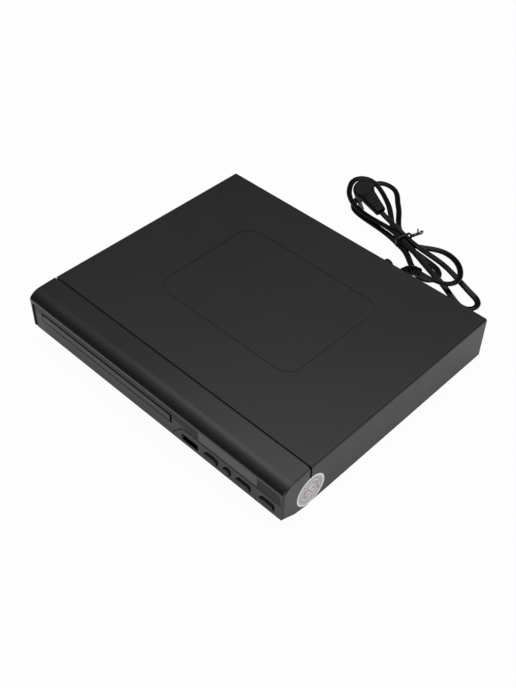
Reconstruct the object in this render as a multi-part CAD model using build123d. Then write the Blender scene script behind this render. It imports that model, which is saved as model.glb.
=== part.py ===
from build123d import *
import math
import os

# Mini disc player: a folded steel case with a moulded front, a motorised disc tray on the left,
# boards on the right and a flat twin mains cord tied in a hank behind it.
# Millimetres. +X is right, -Y is the front, +Z is up. The origin is under the middle of the case.

# case
width = 235.0
bezel_depth = 22.0
cover_depth = 174.5
jack_reach = 8.0
foot_height = 4.1
cover_height = 32.9
sheet = 0.8
bend_radius = 1.8
seam_gap = 1.6
fit_gap = 0.3

top_z = foot_height + cover_height
key_proud = 0.5
front_y = -(bezel_depth + cover_depth + jack_reach + key_proud) / 2 + key_proud
seam_y = front_y + bezel_depth
rear_y = seam_y + cover_depth
half_width = width / 2
pan_top = foot_height + sheet
ceiling = top_z - sheet

# bezel
bezel_wall = 2.2
nose_flat = 13.2
nose_drop = 0.5
brow_drop = 5.2
lip_drop = 7.3
chin_drop = 30.2
bezel_bottom_drop = 33.6
cheek = 1.9
inset = 0.8
inset_corner = 4.5
chin_corner = 5.0
brow_edge = 1.2
inset_y = front_y + inset
tongue_depth = 6.0

# front features, measured from the top of the case and from its middle
strip_height = 7.6
floor_wall = 0.9
strip_thickness = 0.8
window_margin = 46.0
window_width = 49.0
window_height = 8.7
door_gap = 0.8
door_top_gap = 1.4
door_end_gap = 1.7
mouth_margin = 10.85
mouth_width = 129.9
mouth_drop = 12.4
mouth_height = 7.6
panel_margin = 2.5
mouth_to_panel = 0.95
panel_slant = 8.8
panel_knee = 9.1
panel_drop = 17.6
panel_gap = 0.5
panel_lip = 2.0
panel_flange = 1.2
usb_share = 0.1674
usb_drop = 24.6
usb_width = 14.3
usb_height = 5.3
key_drop = 25.1
key_height = 5.8
key_gap = 0.35
key_travel = 0.6
key_collar = 0.8
key_shares = {"power_button": 0.3667, "play_button": 0.5165, "stop_button": 0.6674, "eject_button": 0.8778}
key_lengths = {"power_button": 11.8, "stop_button": 12.0, "eject_button": 12.0}
key_round_radius = 3.2

# tray and loader
well_radius = 60.8
small_well_radius = 40.6
tray_floor = 1.6
rear_space = 31.3
tray_margin = 4.0
door_thickness = 2.6
rail_gap = 0.35
loader_wall = 2.0
tilt_degrees = 4.2


def block(x0, x1, y0, y1, z0, z1):
    """A box between two corners."""
    return Pos((x0 + x1) / 2, (y0 + y1) / 2, (z0 + z1) / 2) * Box(abs(x1 - x0), abs(y1 - y0), abs(z1 - z0))


def post(radius, x, y, z0, z1):
    """An upright cylinder."""
    return Pos(x, y, (z0 + z1) / 2) * Cylinder(radius, abs(z1 - z0))


def bar_x(radius, x0, x1, y, z):
    """A cylinder along X."""
    return Pos((x0 + x1) / 2, y, z) * Rot(0, 90, 0) * Cylinder(radius, abs(x1 - x0))


def bar_y(radius, x, y0, y1, z):
    """A cylinder along Y."""
    return Pos(x, (y0 + y1) / 2, z) * Rot(90, 0, 0) * Cylinder(radius, abs(y1 - y0))


def front_prism(outline, y0, y1):
    """A flat outline drawn in X and Z, given depth from y0 back to y1."""
    face = Plane((0, y0, 0), x_dir=(1, 0, 0), z_dir=(0, -1, 0)) * outline
    return extrude(face, amount=-(y1 - y0))


def joined(pieces):
    """Several solids fused into one shape."""
    pieces = list(pieces)
    return pieces[0].fuse(*pieces[1:]) if len(pieces) > 1 else pieces[0]


def group(pieces):
    """Separate solids that share one node."""
    return Compound(children=list(pieces))


parts = {}


def keep(name, shape):
    parts[name] = shape
    return shape


# Case: folded cover, base pan, rear panel, feet, screws and seal

emboss_x = (-62.7, 61.6)
emboss_y = (42.8, 134.7)
emboss_radius = 12.5
emboss_width = 1.4
emboss_depth = 0.3
cover_front = seam_y + seam_gap
pan_gap = 0.2
pan_flange = 9.0
pan_half = half_width - sheet - pan_gap
pan_front = seam_y + 0.3
pan_rear = rear_y - 2 * sheet - 0.1
rear_panel_top = ceiling - 0.2

rear_lip = 9.0
screw_head_radius = 2.8
screw_head_height = 1.1
screw_shank_radius = 1.4
screw_length = 4.0
rear_screw_margin = 13.5
rear_screw_x = (rear_screw_margin - half_width, -14.0, half_width - rear_screw_margin)
rear_screw_z = top_z - 5.2

jack_radius = 4.15
jack_bore_radius = 1.7
jack_places = {"video": (29.5, 27.6), "audio_left": (17.5, 15.2), "audio_right": (29.5, 15.2)}
hdmi_x = -5.0
hdmi_z = 13.6
hdmi_width = 15.2
hdmi_height = 5.9
bush_x = 42.0
bush_z = 25.0
bush_hole_radius = 4.6

foot_radius = 7.0
foot_margin = 23.5
foot_places = [(side * (half_width - foot_margin), y) for side in (-1, 1)
               for y in (seam_y + 14.0, rear_y - 22.0)]
pan_vent_x = half_width - 83.5
rear_vent_x = 21.5 - half_width
rear_vent_pitch = 6.0
rear_vent_width = 3.0
rear_vent_z = (14.0, 28.0)


def make_cover():
    section = Plane((0, cover_front, 0), x_dir=(1, 0, 0), z_dir=(0, -1, 0)) * RectangleRounded(
        width, 2 * cover_height, bend_radius)
    inner = Plane((0, cover_front, 0), x_dir=(1, 0, 0), z_dir=(0, -1, 0)) * RectangleRounded(
        width - 2 * sheet, 2 * (cover_height - sheet), bend_radius - sheet)
    depth = rear_y - cover_front
    skin = extrude(section, amount=-depth) - extrude(inner, amount=-depth)
    skin = Pos(0, 0, foot_height) * skin
    skin &= block(-width, width, front_y, rear_y + 1, foot_height, top_z + 1)
    long_x, long_y = emboss_x[1] - emboss_x[0], emboss_y[1] - emboss_y[0]
    place = Pos(sum(emboss_x) / 2, seam_y + sum(emboss_y) / 2, top_z)
    ring = RectangleRounded(long_x, long_y, emboss_radius) - RectangleRounded(
        long_x - 2 * emboss_width, long_y - 2 * emboss_width, emboss_radius - emboss_width)
    skin -= extrude(place * ring, amount=-emboss_depth)
    skin += block(-half_width + bend_radius, half_width - bend_radius, rear_y - sheet, rear_y,
                  top_z - rear_lip, ceiling)
    for x, z in jack_places.values():
        skin -= bar_y(jack_radius + fit_gap, x, rear_y - 2, rear_y + 1, z)
    for x in rear_screw_x:
        skin -= bar_y(screw_shank_radius + 0.1, x, rear_y - 2, rear_y + 1, rear_screw_z)
    return skin


def make_base_pan():
    pan = block(-pan_half, pan_half, pan_front, pan_rear, foot_height, pan_top)
    for side in (-1, 1):
        wall = (side * pan_half, side * (pan_half - sheet))
        pan += block(min(wall), max(wall), cover_front, pan_rear, foot_height, foot_height + pan_flange)
    for row in range(3):
        for n in range(9):
            slot = Rectangle(2.4, 22.0)
            pan -= extrude(Pos(pan_vent_x + n * 7.0, rear_y - 34 - row * 28.0, foot_height - 0.5) * slot, amount=2)
    for x, y in foot_places:
        pan -= post(screw_shank_radius + 0.1, x, y, foot_height - 1, pan_top + 1)
    return pan


def make_rear_panel():
    panel = block(-pan_half, pan_half, pan_rear, pan_rear + sheet, foot_height, rear_panel_top)
    reach = pan_half - bend_radius
    panel -= block(reach, pan_half + 1, pan_rear - 1, pan_rear + 2, rear_panel_top - 1.5, ceiling)
    panel -= block(-pan_half - 1, -reach, pan_rear - 1, pan_rear + 2, rear_panel_top - 1.5, ceiling)
    panel += block(-reach, reach, pan_rear - 7.0, pan_rear + sheet, rear_panel_top - sheet, rear_panel_top)
    for x, z in jack_places.values():
        panel -= bar_y(jack_radius + fit_gap, x, pan_rear - 1, pan_rear + 2, z)
    panel -= block(hdmi_x - hdmi_width / 2 - fit_gap, hdmi_x + hdmi_width / 2 + fit_gap, pan_rear - 1,
                   pan_rear + 2, hdmi_z - hdmi_height / 2 - fit_gap, hdmi_z + hdmi_height / 2 + fit_gap)
    panel -= bar_y(bush_hole_radius, bush_x, pan_rear - 1, pan_rear + 2, bush_z)
    for x in rear_screw_x:
        panel -= bar_y(screw_shank_radius + 0.02, x, pan_rear - 1, pan_rear + 2, rear_screw_z)
    for n in range(14):
        x = rear_vent_x + n * rear_vent_pitch
        panel -= block(x, x + rear_vent_width, pan_rear - 1, pan_rear + 2, *rear_vent_z)
    return panel


def make_feet():
    feet = []
    for x, y in foot_places:
        foot = post(foot_radius, x, y, 0, foot_height)
        foot = chamfer(foot.faces().sort_by(Axis.Z)[0].edges(), 0.8)
        feet.append(foot - post(2.9, x, y, -1, 1.6))
    return group(feet)


def make_rear_screws():
    screws = []
    for x in rear_screw_x:
        screw = bar_y(screw_head_radius, x, rear_y, rear_y + screw_head_height, rear_screw_z)
        screw += bar_y(screw_shank_radius, x, rear_y - screw_length, rear_y, rear_screw_z)
        for a, b in ((1.4, 0.3), (0.3, 1.4)):
            screw -= block(x - a, x + a, rear_y + 0.5, rear_y + 2, rear_screw_z - b, rear_screw_z + b)
        screws.append(screw)
    return group(screws)


seal_radius = 11.85
seal_y = seam_y + 1.6
seal_z = top_z - 20.9
seal_thickness = 0.12


def make_seal():
    return bar_x(seal_radius, half_width, half_width + seal_thickness, seal_y, seal_z)


bush_notch = bar_y(bush_hole_radius + 1.5, bush_x, pan_rear + sheet - 0.05, rear_y + 1, bush_z)
keep("top_cover", make_cover() - bush_notch)
keep("base_pan", make_base_pan())
keep("rear_panel", make_rear_panel())
keep("feet", make_feet())
keep("case_screws", make_rear_screws())
keep("side_seal", make_seal())


# Front: bezel, glossy strip, window, key panel and keys

mouth_x = mouth_margin + mouth_width / 2 - half_width
mouth = (mouth_x - mouth_width / 2, mouth_x + mouth_width / 2)
panel_left = mouth[1] + mouth_to_panel
panel_right = half_width - panel_margin
window_x = half_width - window_margin


def panel_place(share):
    """A place across the key panel, from 0 at its left end to 1 at its right end."""
    return panel_left + share * (panel_right - panel_left)


usb_x = panel_place(usb_share)


def bezel_profile(shrink=0.0, rise=0.0):
    """The side outline of the front moulding, in Y and Z, brought in by shrink, and its floor by rise."""
    top = top_z
    start = (seam_y, top - shrink)
    flat_end = (seam_y - nose_flat, top - nose_drop - shrink)
    brow = (front_y + shrink, top - brow_drop - shrink)
    chin = (front_y + shrink, top_z - chin_drop + rise)
    heel = (seam_y, top_z - bezel_bottom_drop + rise)
    bow = TangentArc(Vector(*flat_end), Vector(*brow), tangent=Vector(*flat_end) - Vector(*start))
    lines = [Line(start, flat_end), bow, Line(brow, chin), Line(chin, heel), Line(heel, start)]
    return make_face(Curve() + lines)


def side_prism(outline, x0, x1):
    """An outline drawn in Y and Z, given width from x0 to x1."""
    face = Plane((x0, 0, 0), x_dir=(0, 1, 0), z_dir=(1, 0, 0)) * outline
    return extrude(face, amount=x1 - x0)


def panel_outline(grow):
    """The key panel's outline, grown outward on every side."""
    left, low = panel_left - grow, top_z - chin_drop + floor_wall + 0.1 - min(grow, 0.1)
    right, high = panel_right + grow, top_z - panel_drop + grow
    knee = top_z - panel_drop - panel_knee + grow * 0.4
    return make_face(Polyline((left, knee), (left + panel_slant, high), (right, high), (right, low),
                              (left, low), close=True))


def key_outline(name, grow):
    """A pill or round key's outline at its place on the front."""
    place = Pos(panel_place(key_shares[name]), top_z - key_drop)
    if name not in key_lengths:
        return place * Circle(key_round_radius + grow)
    return place * SlotOverall(key_lengths[name] + 2 * grow, key_height + 2 * grow)


mouth_top = top_z - mouth_drop
mouth_low = mouth_top - mouth_height
strip_top = top_z - lip_drop
strip_low = strip_top - strip_height
strip_half = half_width - cheek - 0.6
panel_top = top_z - panel_drop
panel_low = top_z - chin_drop + floor_wall + 0.1
strip_end = panel_top + panel_gap + 0.25
window_top = strip_top - 0.5


def inset_outline(side, top):
    """The sunk front's outline, in from the cheeks by side and down from the lip by top, reaching below the case."""
    radius = inset_corner - side
    return RectangleRounded(2 * (half_width - cheek - side), 2 * (strip_top - top), radius)


def chin_cut(side):
    """What rounds a lower front corner of the moulding: a square corner less its arc, dying out to the rear."""
    faces = []
    for y, size in ((front_y - 0.5, chin_corner), (front_y + 2 * chin_corner, 0.3)):
        low = top_z - chin_drop - (y - front_y) * (bezel_bottom_drop - chin_drop) / bezel_depth - 0.02
        corner = (side * (half_width + 0.02), low)
        beside = (corner[0] - side * size, low)
        above = (corner[0], low + size)
        middle = (corner[0] - side * size * (1 - math.sqrt(0.5)), low + size * (1 - math.sqrt(0.5)))
        outline = make_face(Curve() + [Line(corner, beside), ThreePointArc(beside, middle, above), Line(above, corner)])
        faces.append(Plane((0, y, 0), x_dir=(1, 0, 0), z_dir=(0, -1, 0)) * outline)
    return loft([shape.face() for shape in faces], ruled=True)


def strip_zone(shrink, y0, y1):
    """The glossy strip's space: shallow on the left, and down to the key panel on the right."""
    left = block(-strip_half + shrink, mouth[1] + 4, y0, y1, strip_low + shrink, strip_top - shrink)
    right = block(mouth[1] + 0.8 + shrink, strip_half - shrink, y0, y1, strip_end + shrink, strip_top - shrink)
    slant = panel_left + panel_slant + 1.5
    zone = left + right - block(mouth[1], slant, y0 - 1, y1 + 1, 0, strip_low + shrink)
    return zone & front_prism(inset_outline(0.6 + shrink, shrink), y0, y1)


def make_bezel():
    body = side_prism(bezel_profile(), -half_width, half_width)
    top_edges = [e for e in body.edges() if abs(abs(e.center().X) - half_width) < 0.01
                 and (e.center().Z > top_z - brow_drop or abs(e.center().Y - front_y) < 0.3)]
    body = fillet(top_edges, brow_edge)
    body = body - chin_cut(-1) - chin_cut(1)
    body -= side_prism(bezel_profile(bezel_wall, floor_wall), -half_width + bezel_wall, half_width - bezel_wall)
    body -= block(-half_width + bezel_wall, half_width - bezel_wall, seam_y - 3, seam_y + 1,
                  top_z - bezel_bottom_drop + floor_wall + 0.5, top_z - bezel_wall)
    body -= front_prism(inset_outline(0, 0), front_y - 1, inset_y)
    body -= strip_zone(0, inset_y - 0.1, inset_y + strip_thickness)
    body -= block(mouth[0], mouth[1], front_y - 1, front_y + 8, mouth_low, mouth_top)
    body -= block(window_x - window_width / 2 + 2, window_x + window_width / 2 - 2, front_y, front_y + 8,
                  window_top - window_height + 1.0, window_top - 1.2)
    body -= front_prism(panel_outline(panel_gap), front_y - 1, front_y + 8)
    reach = half_width - sheet - bend_radius
    tongue = block(-reach, reach, seam_y - 2, seam_y + tongue_depth, ceiling - 0.1 - 1.4, ceiling - 0.1)
    tongue += block(-reach, reach, seam_y - 2, seam_y + 1.8, pan_top + 0.05, pan_top + 1.4)
    tongue += block(-reach, reach, seam_y - 2, seam_y, top_z - bezel_bottom_drop + 0.5, pan_top + 1.4)
    for side in (-1, 1):
        inner = side * (half_width - sheet - pan_gap - sheet - 0.3)
        edge = (inner, inner - side * 1.4)
        tongue += block(min(edge), max(edge), seam_y - 2, seam_y + tongue_depth, pan_top + 0.1, ceiling - 0.5)
    return body + tongue


def make_strip():
    strip = strip_zone(0.05, inset_y, inset_y + strip_thickness - 0.01)
    strip -= block(mouth[0], mouth[1], front_y - 1, front_y + 8, mouth_low - 1, mouth_top)
    strip -= block(window_x - window_width / 2 - 0.05, window_x + window_width / 2 + 0.05, front_y - 1,
                   front_y + 8, window_top - window_height, window_top)
    strip -= front_prism(panel_outline(panel_gap), front_y - 1, front_y + 8)
    return strip


def make_window():
    return block(window_x - window_width / 2, window_x + window_width / 2, inset_y,
                 inset_y + strip_thickness - 0.01, window_top - window_height + 0.05, window_top - 0.05)


panel_face = inset_y - 0.1
panel_back = front_y + bezel_wall


def make_key_panel():
    panel = front_prism(panel_outline(0), panel_face, panel_back)
    panel += front_prism(panel_outline(panel_lip), panel_back, panel_back + panel_flange) & block(
        -half_width, half_width - bezel_wall - fit_gap, front_y, front_y + 9,
        panel_low, top_z)
    panel -= block(usb_x - usb_width / 2, usb_x + usb_width / 2, front_y - 1, front_y + 9,
                   top_z - usb_drop - usb_height / 2, top_z - usb_drop + usb_height / 2)
    for name in key_shares:
        panel -= front_prism(key_outline(name, key_gap), front_y - 1, front_y + 9)
    return panel


key_front = front_y - key_proud
key_back = panel_back + panel_flange + 0.8


def make_key(name):
    cap = front_prism(key_outline(name, 0), key_front, key_back)
    cap = fillet(cap.faces().sort_by(Axis.Y)[0].edges(), 0.7)
    collar = front_prism(key_outline(name, 1.0), key_back, key_back + key_collar)
    return cap + (collar & block(-half_width, half_width, front_y, seam_y, panel_low + 0.2, top_z))


keep("front_bezel", make_bezel())
keep("glossy_strip", make_strip())
keep("display_window", make_window())
keep("key_panel", make_key_panel())
for name in key_shares:
    keep(name, make_key(name))


# Disc tray, its rack and the loader

tray_x = mouth_x
tray_half = mouth_width / 2 - 1.4
tray_front = inset_y + door_thickness - 0.2
tray_low = mouth_low + 1.3
tray_high = mouth_top - 1.7
tray_rear = rear_y - rear_space
spindle_y = tray_front + tray_margin + well_radius
well_floor = tray_low + 2.3
small_well_floor = tray_low + tray_floor
clamp_opening = 19.5
pickup_slot_width = 44.0
pickup_slot_reach = 60.0

module = 1.0
pinion_teeth = 12
wheel_teeth = 20
tooth_play = 0.3
pinion_radius = module * pinion_teeth / 2
wheel_radius = module * wheel_teeth / 2
rack_face_x = tray_x + 54.5
rack_width = 5.0
rack_low = mouth_low + 0.4
rack_groove_top = tray_low + 1.5
rack_back = rack_face_x + 1.2
gear_y = seam_y + 12.4
gear_x = rack_face_x - pinion_radius
belt_x = gear_x - pinion_radius - wheel_radius
belt_wheel_radius = 8.2
motor_pulley_radius = 2.6
motor_x = belt_x - 27.0
motor_radius = 9.5
axle_radius = 1.5
axle_play = 0.05
wheel_low = pan_top + 4.3
wheel_high = wheel_low + 4.0
pinion_high = rack_groove_top - 0.5
belt_low = wheel_high + 1.2
belt_high = belt_low + 2.4


def tooth(radius, shift):
    """One tooth of a gear as a flat face, its middle at angle shift from +X."""
    pitch_half = math.pi * module / 4 - tooth_play / 2
    rows = [(radius - 1.2 * module, pitch_half + 0.36 * module), (radius, pitch_half),
            (radius + 0.85 * module, pitch_half - 0.42 * module)]
    outline = rows + [(r, -h) for r, h in reversed(rows)]
    return Rot(0, 0, shift) * make_face(Polyline(*outline, close=True))


def gear(radius, count, x, y, z0, z1, phase):
    """A spur gear about an upright axis, with a tooth at angle phase in degrees."""
    blank = Circle(radius - 1.1 * module)
    teeth = [tooth(radius, phase + n * 360 / count) for n in range(count)]
    return Pos(x, y, z0) * extrude(blank.fuse(*teeth), amount=z1 - z0)


def make_tray():
    plate = block(tray_x - tray_half, tray_x + tray_half, tray_front, tray_rear, tray_low, tray_high)
    plate = fillet(plate.edges().filter_by(Axis.Z), 1.0)
    plate -= post(well_radius, tray_x, spindle_y, well_floor, tray_high + 1)
    plate -= post(small_well_radius, tray_x, spindle_y, small_well_floor, tray_high + 1)
    plate -= block(tray_x - tray_half + 6, tray_x + tray_half - 6, spindle_y + well_radius + 4, tray_rear - 4,
                   well_floor, tray_high + 1)
    plate -= post(clamp_opening, tray_x, spindle_y, tray_low - 1, tray_high)
    plate -= block(tray_x - pickup_slot_width / 2, tray_x + pickup_slot_width / 2, spindle_y,
                   spindle_y + pickup_slot_reach, tray_low - 1, tray_high)
    plate -= bar_y(9.0, tray_x, tray_front - 1, tray_front + 14, tray_high + 5.5)
    plate -= block(gear_x - pinion_radius - module - 0.3, rack_back, gear_y - 9, tray_rear + 1, tray_low - 1,
                   rack_groove_top)
    rack = block(rack_back, rack_face_x + rack_width, gear_y - 6, tray_rear, rack_low, tray_low)
    pitch = math.pi * module
    for n in range(-1, int((tray_rear - gear_y) / pitch) - 1):
        y = gear_y + (n + 0.5) * pitch
        half = pitch / 4 - tooth_play / 2
        face = make_face(Polyline((rack_back, y - half - 0.44), (rack_back, y + half + 0.44),
                                  (rack_face_x - 0.85, y + half - 0.31), (rack_face_x - 0.85, y - half + 0.31),
                                  close=True))
        rack += Pos(0, 0, rack_low) * extrude(face, amount=rack_groove_top - rack_low)
    return plate + rack


def make_door():
    low, high = mouth_low + door_gap, mouth_top - door_top_gap
    door = block(tray_x - mouth_width / 2 + door_gap, tray_x + mouth_width / 2 - door_end_gap, panel_face,
                 panel_face + door_thickness - 0.1, low, high)
    door = fillet(door.faces().sort_by(Axis.Y)[0].edges(), 0.3)
    return door + block(tray_x - 50, tray_x + 50, panel_face + door_thickness - 0.2, tray_front,
                        tray_low + 0.3, tray_high - 0.5)


loader_x = (tray_x - tray_half - rail_gap - loader_wall, tray_x + tray_half + rail_gap + loader_wall)
loader_front = seam_y + 2.0
slider_space = 4.1
traverse_reach = 74.0
loader_rear = tray_rear + 4.0
rail_top = tray_low - 0.25
loader_floor = (pan_top + 1.6, pan_top + 3.4)
traverse_front = gear_y + motor_radius + slider_space
traverse_rear = spindle_y + traverse_reach
bridge_low = tray_high + 1.0


def make_loader():
    x0, x1 = loader_x
    frame = joined([block(x0, x0 + loader_wall, loader_front, loader_rear, pan_top, bridge_low),
                    block(x1 - loader_wall, x1, loader_front, loader_rear, pan_top, bridge_low),
                    block(x0, x1, loader_front, traverse_front - 3, *loader_floor),
                    block(x0, x1, traverse_rear + 4, loader_rear, *loader_floor),
                    block(x0, x1, tray_rear + 1.0, tray_rear + 3.0, pan_top, bridge_low)])
    for a, b in ((x0, x0 + loader_wall + 3.0), (x1 - loader_wall - 3.0, x1)):
        frame += block(a, b, loader_front, loader_rear, rail_top - 1.4, rail_top)
        frame += block(a, b, loader_front + 4, loader_rear, tray_high + 0.3, bridge_low)
    frame += post(axle_radius, gear_x, gear_y, loader_floor[1], pinion_high + 0.2)
    frame += post(axle_radius, belt_x, gear_y, loader_floor[1], belt_high + 0.3)
    frame -= post(motor_radius + fit_gap, motor_x, gear_y, pan_top, loader_floor[1] + 1)
    return frame


def make_drive_gear():
    body = gear(wheel_radius, wheel_teeth, gear_x, gear_y, wheel_low, wheel_high, 180.0)
    body += gear(pinion_radius, pinion_teeth, gear_x, gear_y, wheel_high, pinion_high, 0.0)
    return body - post(axle_radius + axle_play, gear_x, gear_y, wheel_low - 1, pinion_high + 1)


def make_belt_wheel():
    body = gear(pinion_radius, pinion_teeth, belt_x, gear_y, wheel_low, wheel_high, 180.0 / pinion_teeth)
    body += post(belt_wheel_radius - 0.6, belt_x, gear_y, wheel_high, belt_high)
    body += post(belt_wheel_radius, belt_x, gear_y, belt_low - 0.5, belt_low)
    body += post(belt_wheel_radius, belt_x, gear_y, belt_high - 0.5, belt_high)
    return body - post(axle_radius + axle_play, belt_x, gear_y, wheel_low - 1, belt_high + 1)


def make_motor_pulley():
    body = post(motor_pulley_radius - 0.6, motor_x, gear_y, belt_low - 0.6, belt_high)
    body += post(motor_pulley_radius, motor_x, gear_y, belt_low - 0.6, belt_low)
    body += post(motor_pulley_radius, motor_x, gear_y, belt_high - 0.5, belt_high)
    return body - post(0.75 + 0.02, motor_x, gear_y, belt_low - 2, belt_high + 1)


def make_loading_motor():
    body = post(motor_radius, motor_x, gear_y, pan_top, belt_low - 1.6)
    body = fillet(body.faces().sort_by(Axis.Z)[-1].edges(), 0.8)
    body += post(2.6, motor_x, gear_y, belt_low - 1.6, belt_low - 1.0)
    return body + post(0.75, motor_x, gear_y, belt_low - 1.0, belt_high + 0.4)


def make_belt():
    """A square rubber loop round the two pulleys, a little clear of their grooves."""
    inner, thick = 0.3, 1.1
    r1, r2, span = belt_wheel_radius - 0.6, motor_pulley_radius - 0.6, belt_x - motor_x

    def loop(grow):
        lean = math.asin((r1 - r2) / span)
        a, b = r1 + grow, r2 + grow
        s, c = math.sin(lean), math.cos(lean)
        p = [(belt_x - a * s, gear_y + a * c), (motor_x - b * s, gear_y + b * c)]
        q = [(motor_x - b * s, gear_y - b * c), (belt_x - a * s, gear_y - a * c)]
        edges = [Line(p[0], p[1]), ThreePointArc(p[1], (motor_x - b, gear_y), q[0]), Line(q[0], q[1]),
                 ThreePointArc(q[1], (belt_x + a, gear_y), p[0])]
        return make_face(Curve() + edges)

    band = loop(inner + thick) - loop(inner)
    middle = (belt_low + belt_high - 0.5) / 2
    return Pos(0, 0, middle - 0.6) * extrude(band, amount=1.2)


keep("disc_tray", make_tray())
keep("tray_door", make_door())
keep("loader_frame", make_loader())
keep("drive_gear", make_drive_gear())
keep("belt_wheel", make_belt_wheel())
keep("motor_pulley", make_motor_pulley())
keep("loading_motor", make_loading_motor())
keep("drive_belt", make_belt())


# Traverse with spindle, pickup and its drive, and the clamp above the tray

tilt = math.radians(tilt_degrees)
hinge_y = traverse_rear - 3.0
hinge_z = pan_top + 3.6
hinge_radius = 1.5
traverse_half = 37.0
plate_low = pan_top + 2.9
plate_high = plate_low + 1.5
spindle_radius = 0.75
turntable_radius = 14.5
turntable_seat = tray_low - 2.1
turntable_top = tray_low - 0.3
slider_front = traverse_front - 2.7
slider_thickness = 1.8
slider_travel = 16.0
slider_low = pan_top + 1.0
slider_high = tray_low - 0.35
pin_x = tray_x - 10.0
pin_z = slider_low + 2.9
pin_lift = (hinge_y - slider_front - slider_thickness / 2) * math.sin(tilt)
rod_radius = 1.5
rod_z = plate_high + 2.3
rod_x = 26.0
rod_y = (spindle_y + 19.0, traverse_rear - 7.0)
sled_start = spindle_y + 26.0
sled_length = 15.0
screw_x = tray_x + 31.4
screw_z = plate_high - 0.1
sled_motor_radius = 3.8
sled_motor_y = (spindle_y + 4.0, spindle_y + 18.5)
lead_radius = 1.5
lead_pitch = 3.0
clamp_hole = 13.9
bridge_top = bridge_low + 1.0
clamper_radius = 16.5


def make_traverse():
    x0, x1 = tray_x - traverse_half, tray_x + traverse_half
    plate = block(x0, x1, traverse_front, hinge_y - 4.0, plate_low, plate_high)
    plate = fillet(plate.edges().filter_by(Axis.Z), 3.0)
    plate -= block(tray_x - 21, tray_x + 21, spindle_y + 16, rod_y[1] - 3, plate_low - 1, plate_high + 1)
    plate -= post(6.0, tray_x, spindle_y, plate_low - 1, plate_high + 1)
    for x in (x0 + 6, x1 - 6):
        arm = block(x - 3, x + 3, hinge_y - 6, hinge_y, plate_low, plate_high)
        plate += arm
        plate += bar_x(hinge_radius + 1.6, x - 3, x + 3, hinge_y, hinge_z)
    for side in (-1, 1):
        x = tray_x + side * rod_x
        for y in rod_y:
            edge = (x - side * 2.6, x + side * (1.4 if y == rod_y[0] else 2.6))
            plate += block(min(edge), max(edge), y - 1.5, y + 1.5, plate_high, rod_z + 2.2)
            plate -= bar_y(rod_radius, x, y - 2, y + 2, rod_z)
    plate -= block(screw_x - 2.3, screw_x + 2.3, sled_motor_y[1], rod_y[1] - 1.5, plate_low - 1, plate_high + 1)
    motor_space = sled_motor_radius + 0.1
    plate -= block(screw_x - motor_space, screw_x + motor_space, sled_motor_y[0] - 0.2, sled_motor_y[1] + 0.2,
                   plate_low - 1, plate_high + 1)
    plate += block(screw_x - 2.3, screw_x + 2.3, rod_y[1] - 1.5, rod_y[1] + 1.5, plate_low - 0.8, screw_z + 2.3)
    plate -= bar_y(lead_radius * 0.7 + axle_play, screw_x, rod_y[1] - 2, rod_y[1] + 2, screw_z)
    plate += block(pin_x - 3, pin_x + 3, traverse_front - 0.2, traverse_front + 1.2, plate_low, pin_z + 1.4)
    plate += bar_y(1.5, pin_x, slider_front - 0.3, traverse_front + 0.4, pin_z)
    for x in (x0 + 6, x1 - 6):
        plate -= bar_x(hinge_radius + axle_play, x - 4, x + 4, hinge_y, hinge_z)
    return plate


def make_hinge_posts():
    """Ears on the loader's rear floor, with the pins that the traverse swings on."""
    ears = []
    for side in (-1, 1):
        x = tray_x + side * (traverse_half - 6)
        out = x + side * 3.3
        wall = (out, out + side * 2.0)
        ears.append(block(min(wall), max(wall), hinge_y - 2.6, traverse_rear + 5, loader_floor[0],
                          hinge_z + 2.4))
        tip = x - side * 2.6
        ears.append(bar_x(hinge_radius, min(tip, out + side), max(tip, out + side), hinge_y, hinge_z))
    return ears


def make_spindle_motor():
    motor = post(12.0, tray_x, spindle_y, pan_top + 0.5, plate_low)
    motor += post(5.6, tray_x, spindle_y, plate_low, plate_high + 0.4)
    return motor - post(spindle_radius + axle_play, tray_x, spindle_y, pan_top + 1.1, plate_high + 1)


def make_turntable():
    table = post(turntable_radius, tray_x, spindle_y, turntable_seat - 1.6, turntable_seat)
    table += post(8.5, tray_x, spindle_y, plate_high + 0.9, turntable_seat)
    hub = post(7.45, tray_x, spindle_y, turntable_seat, turntable_top)
    hub = chamfer(hub.faces().sort_by(Axis.Z)[-1].edges(), 1.0)
    table += hub
    return table + post(spindle_radius, tray_x, spindle_y, pan_top + 1.3, turntable_seat)


def make_guide_rods():
    return group(bar_y(rod_radius, tray_x + side * rod_x, rod_y[0] - 1.5, rod_y[1] + 1.5, rod_z)
                 for side in (-1, 1))


def make_sled_motor():
    y0, y1 = sled_motor_y
    motor = bar_y(sled_motor_radius, screw_x, y0, y1, screw_z)
    ears = block(screw_x - sled_motor_radius - 1.6, screw_x + sled_motor_radius + 1.3, y0 + 4.0, y0 + 10.0,
                 plate_high, plate_high + 1.0)
    body = motor + ears
    return body - bar_y(lead_radius * 0.7 + axle_play, screw_x, y1 - 6.0, y1 + 8, screw_z)


def make_lead_screw():
    """The screw's core with a raised single-start thread, drawn as rings a pitch apart."""
    start, end = sled_motor_y[1] + 1.0, rod_y[1] - 1.8
    core = bar_y(lead_radius * 0.7, screw_x, sled_motor_y[1] - 5.6, rod_y[1] + 1.2, screw_z)
    rings = [bar_y(lead_radius, screw_x, start + n * lead_pitch, start + n * lead_pitch + 1.2, screw_z)
             for n in range(int((end - start - 1.2) / lead_pitch) + 1)]
    return joined([core] + rings)


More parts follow.
